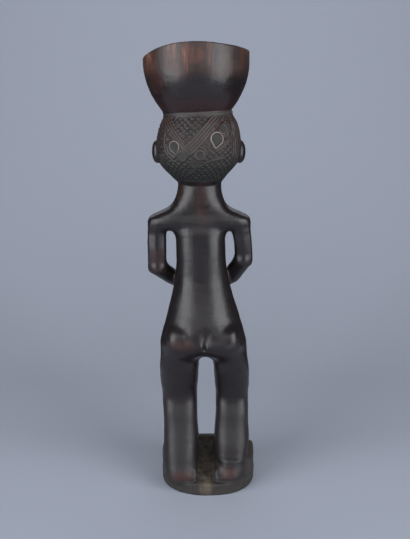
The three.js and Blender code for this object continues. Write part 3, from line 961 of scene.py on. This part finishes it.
def hollowness(p, normals, reaches=(1.2, 3.0, 7.0)):
    """0 in the open and up to 1 deep in a hollow, from how close the carving stays in front of points."""
    total = np.zeros(len(p))
    for reach in reaches:
        ahead = carving_field(p + normals * reach)
        total += np.clip(1 - ahead / reach, 0, 1)
    return total / len(reaches)


def edge_wear(p, normals, reach=1.6):
    """0 on flat places and up to 1 on sharp edges, from how fast the carving falls away behind points."""
    behind = carving_field(p - normals * reach)
    return np.clip(1 + behind / reach, 0, 1)


def set_value(mesh, name, values):
    attribute = mesh.attributes.get(name) or mesh.attributes.new(name, "FLOAT", "POINT")
    attribute.data.foreach_set("value", np.asarray(values, np.float32))


def mark_surface(mesh):
    """Gives the mesh the named values that its relief and its finish are made from."""
    points, _ = mesh_arrays(mesh)
    normals = np.empty(len(mesh.vertices) * 3)
    mesh.vertex_normals.foreach_get("vector", normals)
    normals = normals.reshape(-1, 3)
    values = hair_relief(points)
    values["hollow"] = hollowness(points, normals)
    values["edge"] = edge_wear(points, normals)
    values["smooth"] = 1 - values["hair"]
    for name, value in values.items():
        set_value(mesh, name, value)


# Node trees

class Value:
    """A number's socket, used in expressions that add Math nodes to its tree."""

    def __init__(self, bench, socket):
        self.bench = bench
        self.socket = socket

    def math(self, operation, *others, clamp=False):
        return self.bench.math(operation, self, *others, clamp=clamp)

    def __add__(self, other):
        return self.math("ADD", other)

    def __sub__(self, other):
        return self.math("SUBTRACT", other)

    def __mul__(self, other):
        return self.math("MULTIPLY", other)

    def __truediv__(self, other):
        return self.math("DIVIDE", other)

    def __pow__(self, other):
        return self.math("POWER", other)

    def __rsub__(self, other):
        return self.bench.math("SUBTRACT", other, self)

    def __rtruediv__(self, other):
        return self.bench.math("DIVIDE", other, self)

    __radd__ = __add__
    __rmul__ = __mul__

    def clamped(self):
        return self.math("ADD", 0.0, clamp=True)

    def between(self, low, high):
        """0 below low and 1 above high, smoothly."""
        node = self.bench.node("ShaderNodeMapRange", {"interpolation_type": "SMOOTHSTEP"},
                               {"Value": self, "From Min": low, "From Max": high})
        return Value(self.bench, node.outputs["Result"])


class Bench:
    """Adds nodes to a tree."""

    def __init__(self, tree):
        self.tree = tree

    def node(self, kind, settings=None, inputs=None):
        node = self.tree.nodes.new(kind)
        for name, setting in (settings or {}).items():
            if name == "stops":
                ramp = node.color_ramp
                while len(ramp.elements) < len(setting):
                    ramp.elements.new(1.0)
                for element, (position, colour) in zip(ramp.elements, setting):
                    element.position = position
                    element.color = (*colour, 1.0)
            else:
                setattr(node, name, setting)
        for name, value in (inputs or {}).items():
            self.feed(node.inputs[name], value)
        return node

    def feed(self, socket, value):
        if isinstance(value, Value):
            value = value.socket
        if isinstance(value, bpy.types.NodeSocket):
            self.tree.links.new(value, socket)
        else:
            socket.default_value = value

    def math(self, operation, *values, clamp=False):
        node = self.node("ShaderNodeMath", {"operation": operation, "use_clamp": clamp}, dict(enumerate(values)))
        return Value(self, node.outputs[0])

    def attribute(self, name):
        return Value(self, self.node("ShaderNodeAttribute", {"attribute_name": name}).outputs["Fac"])

    def named(self, name):
        node = self.node("GeometryNodeInputNamedAttribute", {"data_type": "FLOAT"}, {"Name": name})
        return Value(self, node.outputs["Attribute"])

    def mixed(self, share, first, second, blend="MIX"):
        """A colour between two colours."""
        node = self.node("ShaderNodeMix", {"data_type": "RGBA", "blend_type": blend})
        self.feed(node.inputs["Factor"], share)
        colours = [socket for socket in node.inputs if socket.type == "RGBA"]
        self.feed(colours[0], first)
        self.feed(colours[1], second)
        return next(socket for socket in node.outputs if socket.type == "RGBA")


def relief_tree():
    """Raises the carved hair and the marks of the knife along the surface's normal."""
    tree = bpy.data.node_groups.new("carved_relief", "GeometryNodeTree")
    bench = Bench(tree)
    tree.interface.new_socket("Geometry", in_out="OUTPUT", socket_type="NodeSocketGeometry")
    tree.interface.new_socket("Geometry", in_out="INPUT", socket_type="NodeSocketGeometry")
    names = ["Pyramid width", "Pyramid height", "Pyramid across", "Pyramid up", "Cut depth", "Lozenge width",
             "Lozenge height", "Lozenge depth", "Strand width", "Strand depth", "Motif height",
             "Knife mark size", "Knife mark depth", "Seed"]
    for name in names:
        tree.interface.new_socket(name, in_out="INPUT", socket_type="NodeSocketFloat")
    tree.interface.new_socket("Finish", in_out="INPUT", socket_type="NodeSocketMaterial")
    start = bench.node("NodeGroupInput")
    size = {name: Value(bench, start.outputs[name]) for name in names}
    around, up = bench.named("around"), bench.named("up")

    def noise(scale, detail=1.0, seed=0.0):
        node = bench.node("ShaderNodeTexNoise", {"noise_dimensions": "4D"},
                          {"W": size["Seed"] + seed, "Scale": scale, "Detail": detail, "Roughness": 0.45})
        return Value(bench, node.outputs["Fac"]) - 0.5

    # the knife wandered, so the rows of the pattern do too
    around = around + noise(170.0) * 0.0016
    up = up + noise(170.0, seed=5.0) * 0.0016

    def diagonal(width, height, way, across=0.0, rise=0.0):
        """How far a point is from the middle of its diagonal row, from 0 to 0.5."""
        row = (around - across) / width + way * ((up - rise) / height)
        return (row - row.math("ROUND")).math("ABSOLUTE")

    first = diagonal(size["Pyramid width"], size["Pyramid height"], 1.0, size["Pyramid across"], size["Pyramid up"])
    second = diagonal(size["Pyramid width"], size["Pyramid height"], -1.0, size["Pyramid across"], size["Pyramid up"])
    pyramid = (1.12 - 2.0 * first.math("SMOOTH_MAX", second, 0.08)).math("MINIMUM", 0.92)
    pyramid = pyramid * (1.0 + noise(330.0, seed=2.0) * 0.9)
    third = diagonal(size["Lozenge width"], size["Lozenge height"], 1.0)
    fourth = diagonal(size["Lozenge width"], size["Lozenge height"], -1.0)
    cuts = (2.0 * third.math("MAXIMUM", fourth)).between(0.45, 1.0)
    cuts = cuts * (1.0 + noise(240.0, seed=3.0) * 2.2).math("MAXIMUM", 0.1)
    strand_row = around / size["Strand width"] + noise(120.0, seed=4.0) * 1.2
    strand = (strand_row - strand_row.math("ROUND")).math("ABSOLUTE") * 2.0
    strand = strand.between(0.35, 0.95) * (1.0 + noise(200.0, seed=6.0) * 2.0).math("MAXIMUM", 0.1)
    marks = noise(1.0 / size["Knife mark size"], 2.0, 8.0) * 2.0
    hair_part = (
        bench.named("net") * (pyramid - 0.72) * size["Cut depth"]
        - bench.named("lozenge") * cuts * size["Lozenge depth"]
        - bench.named("strands") * strand * size["Strand depth"]
    )
    raised = bench.named("motif") * size["Motif height"]
    relief = hair_part + raised + bench.named("smooth") * marks * size["Knife mark depth"]
    normal = bench.node("GeometryNodeInputNormal").outputs["Normal"]
    offset = bench.node("ShaderNodeVectorMath", {"operation": "SCALE"}, {"Vector": normal, "Scale": relief})
    moved = bench.node("GeometryNodeSetPosition", None,
                       {"Geometry": start.outputs["Geometry"], "Offset": offset.outputs["Vector"]})
    # the relief's height is kept for the finish, which paints shade into the cuts and highlights onto the tips
    stored = bench.node("GeometryNodeStoreNamedAttribute", {"data_type": "FLOAT", "domain": "POINT"},
                        {"Geometry": moved.outputs["Geometry"], "Name": "relief",
                         "Value": (hair_part + raised) / size["Cut depth"]})
    realized = bench.node("GeometryNodeRealizeInstances", None, {"Geometry": stored.outputs["Geometry"]})
    finished = bench.node("GeometryNodeSetMaterial", None,
                          {"Geometry": realized.outputs["Geometry"], "Material": start.outputs["Finish"]})
    bench.node("NodeGroupOutput", None, {"Geometry": finished.outputs["Geometry"]})
    return tree


def with_relief(piece, sizes, finish):
    """Carves the relief into the piece's own mesh."""
    tree = relief_tree()
    modifier = piece.modifiers.new("relief", "NODES")
    modifier.node_group = tree
    wanted = {
        "Pyramid width": PYRAMID["width"] * MM,
        "Pyramid height": PYRAMID["height"] * MM,
        "Pyramid across": PYRAMID["u"] * MM,
        "Pyramid up": PYRAMID["z"] * MM,
        "Cut depth": sizes.cut_depth,
        "Lozenge width": sizes.lozenge_width,
        "Lozenge height": sizes.lozenge_height,
        "Lozenge depth": sizes.lozenge_depth,
        "Strand width": sizes.strand_width,
        "Strand depth": sizes.lozenge_depth,
        "Motif height": sizes.motif_height,
        "Knife mark size": sizes.mark_size,
        "Knife mark depth": sizes.mark_depth,
        "Seed": 3.0,
        "Finish": finish,
    }
    for item in tree.interface.items_tree:
        if item.in_out == "INPUT" and item.name in wanted:
            modifier[item.identifier] = wanted[item.name]
    bpy.context.view_layer.update()
    graph = bpy.context.evaluated_depsgraph_get()
    carved = bpy.data.meshes.new_from_object(piece.evaluated_get(graph), preserve_all_data_layers=True, depsgraph=graph)
    piece.modifiers.remove(modifier)
    plain = piece.data
    piece.data = carved
    bpy.data.meshes.remove(plain)
    carved.name = PIECE
    points, _ = mesh_arrays(carved)
    points[:, 2] = np.maximum(points[:, 2], 0)
    place_points(carved, points)


# Finishes

def wood_finish(look):
    """Old dark wood, rubbed to a sheen, worn redder on the cup, dusty in the hollows and on the base."""
    material = bpy.data.materials.new("old_dark_wood")
    material.use_nodes = True
    tree = material.node_tree
    tree.nodes.clear()
    bench = Bench(tree)
    place = bench.node("ShaderNodeTexCoord").outputs["Object"]
    axes = bench.node("ShaderNodeSeparateXYZ", None, {"Vector": place})
    x, y, z = (Value(bench, axes.outputs[axis]) for axis in "XYZ")

    def noise(scale, detail=3.0, roughness=0.55, stretch=(1, 1, 1), shift=(0, 0, 0), distortion=0.0):
        mapping = bench.node("ShaderNodeMapping", None, {"Vector": place, "Scale": stretch, "Location": shift})
        node = bench.node("ShaderNodeTexNoise", None,
                          {"Vector": mapping.outputs["Vector"], "Scale": scale, "Detail": detail,
                           "Roughness": roughness, "Distortion": distortion})
        return Value(bench, node.outputs["Fac"])

    def near(px, py, pz, rx, ry, rz, soft=0.25):
        """1 near a place and 0 further away than its radii."""
        away = ((x - px) / rx) ** 2.0 + ((y - py) / ry) ** 2.0 + ((z - pz) / rz) ** 2.0
        return 1.0 - away.between(soft, 1.0)

    hair, hollow, relief = bench.attribute("hair"), bench.attribute("hollow"), bench.attribute("relief")
    stud, edge, line = bench.attribute("stud"), bench.attribute("edge"), bench.attribute("line")
    recess, collar = bench.attribute("recess"), bench.attribute("collar")
    body = 1.0 - hair
    grain = noise(420.0, 4.0, 0.6, (1, 1, 0.06))
    coarse_grain = noise(150.0, 3.0, 0.6, (1, 1, 0.05), (0.3, 0, 0))
    cloud = noise(38.0, 3.0, 0.55)
    broad_cloud = noise(16.0, 2.0, 0.5, (1, 1, 1), (0.4, 0.1, 0))
    speck = noise(900.0, 2.0, 0.6)
    smear = noise(120.0, 3.0, 0.6, (0.5, 0.5, 2.2), (0, 0.3, 0.1))

    # the skin: nearly black, warmer here and there along the grain
    warmth = (coarse_grain * 0.7 + cloud * 0.5 + broad_cloud * 0.4 - 0.42).clamped()
    colour = bench.mixed(warmth, (*look.dark_wood, 1), (*look.warm_wood, 1))

    # the cup's upper wall, where the skin is worn off in upright streaks
    upper = z.between(0.3035, 0.3150)
    streak = noise(240.0, 3.0, 0.65, (1, 1, 0.12), (0, 0.2, 0))
    wide_streak = noise(75.0, 2.0, 0.5, (1, 1, 0.25), (0.1, 0, 0))
    colour = bench.mixed(upper * 0.75 * (0.5 + wide_streak), colour, (0.040, 0.024, 0.020, 1))
    worn = upper * (streak * 0.55 + wide_streak * 0.55).between(0.56, 0.72) * 0.85
    worn = worn.math("MAXIMUM", near(0.0425, 0.016, 0.318, 0.011, 0.022, 0.011) * (0.35 + 0.65 * streak.between(0.3, 0.6)))
    worn = worn.math("MAXIMUM", near(0.0135, 0.036, 0.3215, 0.013, 0.02, 0.0075) * streak.between(0.35, 0.55))
    worn = worn.math("MAXIMUM", near(0.037, 0.026, 0.304, 0.009, 0.02, 0.011) * 0.30)
    colour = bench.mixed(0.7 - z.between(0.288, 0.300) * 0.7 - (1.0 - z.between(0.281, 0.286)) * 0.7, colour, (0.024, 0.0085, 0.0080, 1))
    # and smaller rubbed places: the neck, the left elbow, under the seat, the heels
    patches = (
        (0.0045, 0.014, 0.223, 0.0075, 0.011, 0.024, 0.30), (0.018, 0.006, 0.224, 0.006, 0.012, 0.012, 0.30),
        (0.037, 0.004, 0.177, 0.009, 0.014, 0.012, 0.30), (0.0215, 0.026, 0.1165, 0.0145, 0.014, 0.0055, 0.34),
        (0.0210, 0.031, 0.0140, 0.0125, 0.012, 0.0055, 0.50), (-0.0155, 0.031, 0.0170, 0.0090, 0.011, 0.0065, 0.85),
    )
    rubbed = Value(bench, 0.0)
    for px, py, pz, rx, ry, rz, strength in patches:
        rubbed = rubbed.math("MAXIMUM", near(px, py, pz, rx, ry, rz, 0.05) * strength)
    worn = worn.math("MAXIMUM", rubbed * (cloud * 0.6 + smear * 0.8).between(0.42, 0.82))
    worn = worn * (0.45 + 0.55 * grain.between(0.35, 0.7)) * body
    rings = ((x + 0.0155) ** 2.0 + (z - 0.0225) ** 2.0) ** 0.5
    ring_line = ((rings * 2600.0).math("SINE") * 0.5 + 0.5) * near(-0.0155, 0.030, 0.0165, 0.0095, 0.012, 0.0065, 0.6)
    worn = worn * (1.0 - 0.55 * ring_line)
    colour = bench.mixed(worn * look.wear_amount, colour, (*look.worn_wood, 1))
    tan = upper * streak.between(0.60, 0.70) * (z.between(0.309, 0.317)) * wide_streak.between(0.48, 0.6)
    tan = tan.math("MAXIMUM", near(0.0425, 0.016, 0.319, 0.006, 0.018, 0.006) * streak.between(0.48, 0.6))
    colour = bench.mixed(tan * 0.42 * body, colour, (0.25, 0.145, 0.085, 1))

    # the hair: pinkish brown above, darker and more olive below; painted shade makes the cuts near-black, painted
    # highlights make the raised tips and ridge lines paler
    up = z.between(0.241, 0.2665)
    hair_top = bench.mixed(broad_cloud.between(0.35, 0.65), (*look.hair_wood, 1), (0.025, 0.0115, 0.0100, 1))
    hair_colour = bench.mixed(up, (0.0085, 0.0082, 0.0058, 1), hair_top)
    # painted shade: where the relief sinks into the cuts the hair is coloured near-black, and dark red in places on the
    # upper hair
    deep = bench.mixed(up * cloud.between(0.42, 0.62), (0.0045, 0.004, 0.0038, 1), (0.020, 0.0045, 0.0042, 1))
    hair_colour = bench.mixed(relief.between(-0.75, 0.05), deep, hair_colour)
    # painted highlight: the raised tips of the relief are coloured paler on the upper hair
    hair_colour = bench.mixed(relief.between(0.05, 0.5) * 0.5 * up, hair_colour, (0.075, 0.053, 0.046, 1))
    hair_colour = bench.mixed(stud, hair_colour, bench.mixed(streak, (0.0095, 0.0105, 0.0075, 1), (0.023, 0.0245, 0.019, 1)))
    # painted highlight: the raised ridge lines of the bands and rings are coloured pale on the upper hair
    hair_colour = bench.mixed(line.between(0.25, 0.95) * up * 0.75, hair_colour, (0.25, 0.205, 0.19, 1))
    hair_colour = bench.mixed(recess, hair_colour, (0.026, 0.006, 0.0055, 1))
    colour = bench.mixed(hair, colour, hair_colour)
    colour = bench.mixed(collar * 0.7, colour, (0.050, 0.044, 0.038, 1))

    # dust: in the hollows, on the foot's outer side, all over the base, and most between the feet
    base_side = 1.0 - (z + (cloud - 0.5) * 0.006).between(0.0075, 0.0125)
    flank = near(-0.036, 0.004, 0.014, 0.013, 0.034, 0.022, 0.4) * 0.8
    between_feet = near(0.0018, 0.004, 0.009, 0.0098, 0.046, 0.0170, 0.45)
    dusty = (hollow.between(0.30, 0.75) * 0.30 * (1.0 - z.between(0.02, 0.06) * 0.6)).math("MAXIMUM", base_side * 0.62)
    dusty = dusty.math("MAXIMUM", flank)
    dusty = dusty * (0.45 + 0.55 * noise(200.0, 4.0, 0.6).between(0.32, 0.62)) * (1.0 - 0.8 * hair)
    colour = bench.mixed(dusty * look.dust_amount, colour, (*look.dust, 1))
    tan_dust = bench.mixed(coarse_grain.between(0.35, 0.65), (0.045, 0.036, 0.025, 1), (0.125, 0.100, 0.070, 1))
    colour = bench.mixed(between_feet * (0.6 + 0.4 * smear.between(0.35, 0.6)), colour, tan_dust)
    colour = bench.mixed(edge.between(0.45, 0.9) * 0.22 * body, colour, (*look.worn_wood, 1))

    # sheen and fine surface
    matt = upper * 0.16 * (0.4 + streak) - z.between(0.286, 0.292) * 0.07 + hair * 0.24 + dusty * 0.40 + stud * 0.12 + collar * 0.3 + between_feet * 0.4
    matt = matt + (1.0 - z.between(0.050, 0.075)) * 0.16
    rough = look.roughness + (cloud - 0.5) * 0.20 + (grain - 0.5) * 0.16 + (smear - 0.5) * 0.22 + matt - line * 0.1
    height = grain * 0.5 + coarse_grain * 0.8 + speck * 0.2 + smear * 0.9
    bump = bench.node("ShaderNodeBump", None, {"Strength": 0.45, "Distance": 0.0004, "Height": height})
    shader = bench.node("ShaderNodeBsdfPrincipled", None, {
        "Base Color": colour,
        "Roughness": rough.math("MAXIMUM", 0.2).math("MINIMUM", 0.9),
        "Normal": bump.outputs["Normal"],
        "IOR": 1.5,
    })
    bench.node("ShaderNodeOutputMaterial", None, {"Surface": shader.outputs["BSDF"]})
    return material


def paper_finish(colour):
    material = bpy.data.materials.new("backdrop_paper")
    material.use_nodes = True
    bench = Bench(material.node_tree)
    material.node_tree.nodes.clear()
    shader = bench.node("ShaderNodeBsdfPrincipled", None, {"Base Color": (*colour, 1), "Roughness": 0.85})
    bench.node("ShaderNodeOutputMaterial", None, {"Surface": shader.outputs["BSDF"]})
    return material


# Settings

class CarvingSizes(bpy.types.PropertyGroup):
    """Sizes of the carving's mesh and relief."""

    mesh_step: bpy.props.FloatProperty(
        name="Mesh step", description="Spacing of the mesh over the plain places",
        default=0.00216, min=0.001, max=0.005, precision=5, unit="LENGTH")
    cut_depth: bpy.props.FloatProperty(
        name="Pyramid cuts", description="Depth of the cuts between the small pyramids of the hair",
        default=0.00085, min=0.0, max=0.003, precision=5, unit="LENGTH")
    lozenge_width: bpy.props.FloatProperty(
        name="Lozenge width", description="Width of a lozenge in the hair's lower net",
        default=0.0052, min=0.001, max=0.02, precision=5, unit="LENGTH")
    lozenge_height: bpy.props.FloatProperty(
        name="Lozenge height", description="Height of a lozenge in the hair's lower net",
        default=0.0040, min=0.001, max=0.02, precision=5, unit="LENGTH")
    lozenge_depth: bpy.props.FloatProperty(
        name="Lozenge depth", description="Depth of the holes in the hair's lower net",
        default=0.00055, min=0.0, max=0.003, precision=5, unit="LENGTH")
    strand_width: bpy.props.FloatProperty(
        name="Strand width", description="Width of an upright strand of hair beside the ears",
        default=0.0024, min=0.001, max=0.01, precision=5, unit="LENGTH")
    motif_height: bpy.props.FloatProperty(
        name="Band height", description="Height of the raised bands and rings of the hair",
        default=0.0008, min=0.0, max=0.003, precision=5, unit="LENGTH")
    mark_size: bpy.props.FloatProperty(
        name="Knife mark size", description="Size of the shallow marks that the knife left",
        default=0.011, min=0.002, max=0.05, precision=4, unit="LENGTH")
    mark_depth: bpy.props.FloatProperty(
        name="Knife mark depth", description="Depth of the shallow marks that the knife left",
        default=0.00028, min=0.0, max=0.002, precision=5, unit="LENGTH")


class WoodLook(bpy.types.PropertyGroup):
    """Colours and sheen of the wood."""

    dark_wood: bpy.props.FloatVectorProperty(
        name="Dark wood", description="Colour of the darkest grain",
        default=(0.0064, 0.0058, 0.0070), size=3, min=0.0, max=1.0, subtype="COLOR")
    warm_wood: bpy.props.FloatVectorProperty(
        name="Warm wood", description="Colour of the warmer grain",
        default=(0.0200, 0.0130, 0.0130), size=3, min=0.0, max=1.0, subtype="COLOR")
    worn_wood: bpy.props.FloatVectorProperty(
        name="Worn wood", description="Red-brown colour where the dark skin is rubbed away",
        default=(0.110, 0.038, 0.025), size=3, min=0.0, max=1.0, subtype="COLOR")
    hair_wood: bpy.props.FloatVectorProperty(
        name="Hair", description="Dull brown of the carved hair",
        default=(0.028, 0.019, 0.0165), size=3, min=0.0, max=1.0, subtype="COLOR")
    dust: bpy.props.FloatVectorProperty(
        name="Dust", description="Colour of the dust in the hollows and on the base",
        default=(0.052, 0.047, 0.035), size=3, min=0.0, max=1.0, subtype="COLOR")
    roughness: bpy.props.FloatProperty(
        name="Roughness", description="Roughness of the rubbed wood", default=0.33, min=0.05, max=1.0, subtype="FACTOR")
    wear_amount: bpy.props.FloatProperty(
        name="Wear", description="How much of the dark skin is rubbed away", default=0.9, min=0.0, max=1.0,
        subtype="FACTOR")
    dust_amount: bpy.props.FloatProperty(
        name="Dust amount", description="How much dust lies on the wood", default=0.9, min=0.0, max=1.0,
        subtype="FACTOR")


class StudioSettings(bpy.types.PropertyGroup):
    """The studio round the carving."""

    paper: bpy.props.FloatVectorProperty(
        name="Paper", description="Colour of the floor and backdrop paper",
        default=(0.43, 0.46, 0.535), size=3, min=0.0, max=1.0, subtype="COLOR")
    light_power: bpy.props.FloatProperty(
        name="Side lights", description="Radiance of each of the two tall side lights", default=4.2, min=0.0)
    front_power: bpy.props.FloatProperty(
        name="Front light", description="Radiance of the wide light behind the camera", default=0.95, min=0.0)
    face_power: bpy.props.FloatProperty(
        name="Face light", description="Radiance of the light on the figure's front", default=0.8, min=0.0)
    fill_power: bpy.props.FloatProperty(
        name="Fill light", description="Radiance of the overhead light for dull surfaces", default=0.12, min=0.0)
    light_angle: bpy.props.FloatProperty(
        name="Light angle", description="How far round from the camera each side light stands",
        default=math.radians(53), min=0.0, max=math.pi, subtype="ANGLE")
    camera_height: bpy.props.FloatProperty(
        name="Camera height", description="Height of the camera above the floor", default=0.300, unit="LENGTH")
    camera_distance: bpy.props.FloatProperty(
        name="Camera distance", description="Distance from the camera to the figure's axis", default=0.552,
        unit="LENGTH")
    camera_pitch: bpy.props.FloatProperty(
        name="Camera pitch", description="How far the camera looks down", default=math.radians(13.49),
        subtype="ANGLE")
    focal_length: bpy.props.FloatProperty(
        name="Focal length", description="The lens, for a picture 36 mm high", default=50.48, unit="CAMERA")


# Operators

class CARVING_OT_figure(bpy.types.Operator):
    """Builds the figure with its cup and base, which are one piece of wood"""

    bl_idname = "carving.figure"
    bl_label = "Figure"

    def execute(self, context):
        scene = context.scene
        piece = bpy.data.objects.new(PIECE, carving_mesh(scene.carving_sizes.mesh_step / MM))
        scene.collection.objects.link(piece)
        mark_surface(piece.data)
        with_relief(piece, scene.carving_sizes, wood_finish(scene.carving_look))
        piece.data.shade_smooth()
        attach(piece, "root")
        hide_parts(NODE)
        return {"FINISHED"}


class CARVING_OT_studio(bpy.types.Operator):
    """Builds the paper floor and backdrop, the lights and the camera"""

    bl_idname = "carving.studio"
    bl_label = "Studio"

    def execute(self, context):
        settings = context.scene.carving_studio
        build_paper(context.scene, settings)
        build_lights(context.scene, settings)
        build_camera(context.scene, settings)
        context.scene.view_settings.view_transform = "Standard"
        return {"FINISHED"}


def build_paper(scene, settings):
    """Paper on the floor that rises behind the figure. Gloss shows only the floor, as in a dark room."""
    half_width, front, back, radius, rise, steps = 0.46, 0.8, -0.2, 0.8, 1.8, 90
    bend = [math.radians(90 * step / steps) for step in range(steps + 1)]
    curve = [(back - radius * math.sin(angle), radius * (1 - math.cos(angle))) for angle in bend]
    look = paper_finish(settings.paper)
    for name, profile in (("floor", [(front, 0.0), (back, 0.0)]), ("backdrop", curve + [(back - radius, rise)])):
        mesh = bpy.data.meshes.new(name)
        points = [(side * half_width, y, z) for y, z in profile for side in (-1, 1)]
        faces = [(2 * i, 2 * i + 1, 2 * i + 3, 2 * i + 2) for i in range(len(profile) - 1)]
        mesh.from_pydata(points, [], faces)
        mesh.flip_normals()
        mesh.shade_smooth()
        mesh.materials.append(look)
        sheet = bpy.data.objects.new(name, mesh)
        scene.collection.objects.link(sheet)
        sheet.visible_glossy = name == "floor"


def add_panel(scene, name, azimuth, elevation, distance, size, radiance, target=(0, 0, 0.2)):
    """A flat soft light that faces a place, put by its direction from there."""
    light = bpy.data.lights.new(name, "AREA")
    light.shape = "RECTANGLE"
    light.size, light.size_y = size
    light.energy = radiance * math.pi * size[0] * size[1]
    light.color = LIGHT_COLOUR
    lamp = bpy.data.objects.new(name, light)
    level = distance * math.cos(elevation)
    lamp.location = (
        target[0] + level * math.sin(azimuth),
        target[1] + level * math.cos(azimuth),
        target[2] + distance * math.sin(elevation),
    )
    # a lamp shines along its own -Z, so it is stood up and turned to face the target
    lamp.rotation_euler = (math.pi / 2 - elevation, 0, math.pi - azimuth)
    scene.collection.objects.link(lamp)
    return lamp


def build_lights(scene, settings):
    """Two tall side lights, a wide one behind the camera, and fills that only light dull surfaces."""
    for name, way in (("left_softbox", 1), ("right_softbox", -1)):
        add_panel(scene, name, way * settings.light_angle, 0, 0.95, (0.72, 1.1), settings.light_power, (0, 0, 0.42))
    add_panel(scene, "front_panel", 0, math.radians(27), 1.15, (1.5, 0.85), settings.front_power, (0, 0, 0.1))
    # a dim one on the figure's own front, which the photo doesn't see
    face_panel = add_panel(scene, "face_panel", math.pi, math.radians(32), 1.1, (1.3, 0.7), settings.face_power, (0, 0, 0.15))
    face_panel.visible_camera = False
    fill = add_panel(scene, "fill", 0, math.radians(75), 1.8, (2.4, 2.4), settings.fill_power)
    fill.visible_glossy = False
    world = bpy.data.worlds.new("studio")
    world.use_nodes = True
    world.node_tree.nodes["Background"].inputs["Color"].default_value = (0.035, 0.037, 0.042, 1)
    scene.world = world


def build_camera(scene, settings):
    camera = bpy.data.cameras.new("camera")
    camera.sensor_fit = "VERTICAL"
    camera.sensor_height = 36
    camera.lens = settings.focal_length
    camera.clip_start = 0.01
    eye = bpy.data.objects.new("camera", camera)
    eye.location = (0.0025, settings.camera_distance, settings.camera_height)
    eye.rotation_euler = (math.radians(90) - settings.camera_pitch, 0, math.pi)
    scene.collection.objects.link(eye)
    scene.camera = eye


class CARVING_PT_sidebar(bpy.types.Panel):
    """Lists the settings and the steps of the carving"""

    bl_label = "Carved cup bearer"
    bl_idname = "CARVING_PT_sidebar"
    bl_space_type = "VIEW_3D"
    bl_region_type = "UI"
    bl_category = "Carving"

    def draw(self, context):
        layout = self.layout
        for label, group in (("Sizes", "carving_sizes"), ("Wood", "carving_look"), ("Studio", "carving_studio")):
            layout.label(text=label)
            settings = getattr(context.scene, group)
            for name in type(settings).__annotations__:
                layout.prop(settings, name)
        for operator in (CARVING_OT_figure, CARVING_OT_studio):
            layout.operator(operator.bl_idname)


CLASSES = (CarvingSizes, WoodLook, StudioSettings, CARVING_OT_figure, CARVING_OT_studio, CARVING_PT_sidebar)


def register():
    for cls in CLASSES:
        bpy.utils.register_class(cls)
    bpy.types.Scene.carving_sizes = bpy.props.PointerProperty(type=CarvingSizes)
    bpy.types.Scene.carving_look = bpy.props.PointerProperty(type=WoodLook)
    bpy.types.Scene.carving_studio = bpy.props.PointerProperty(type=StudioSettings)


def unregister():
    del bpy.types.Scene.carving_sizes
    del bpy.types.Scene.carving_look
    del bpy.types.Scene.carving_studio
    for cls in reversed(CLASSES):
        bpy.utils.unregister_class(cls)


def main():
    register()
    bpy.ops.carving.figure()
    bpy.ops.carving.studio()


if __name__ == "__main__":
    main()
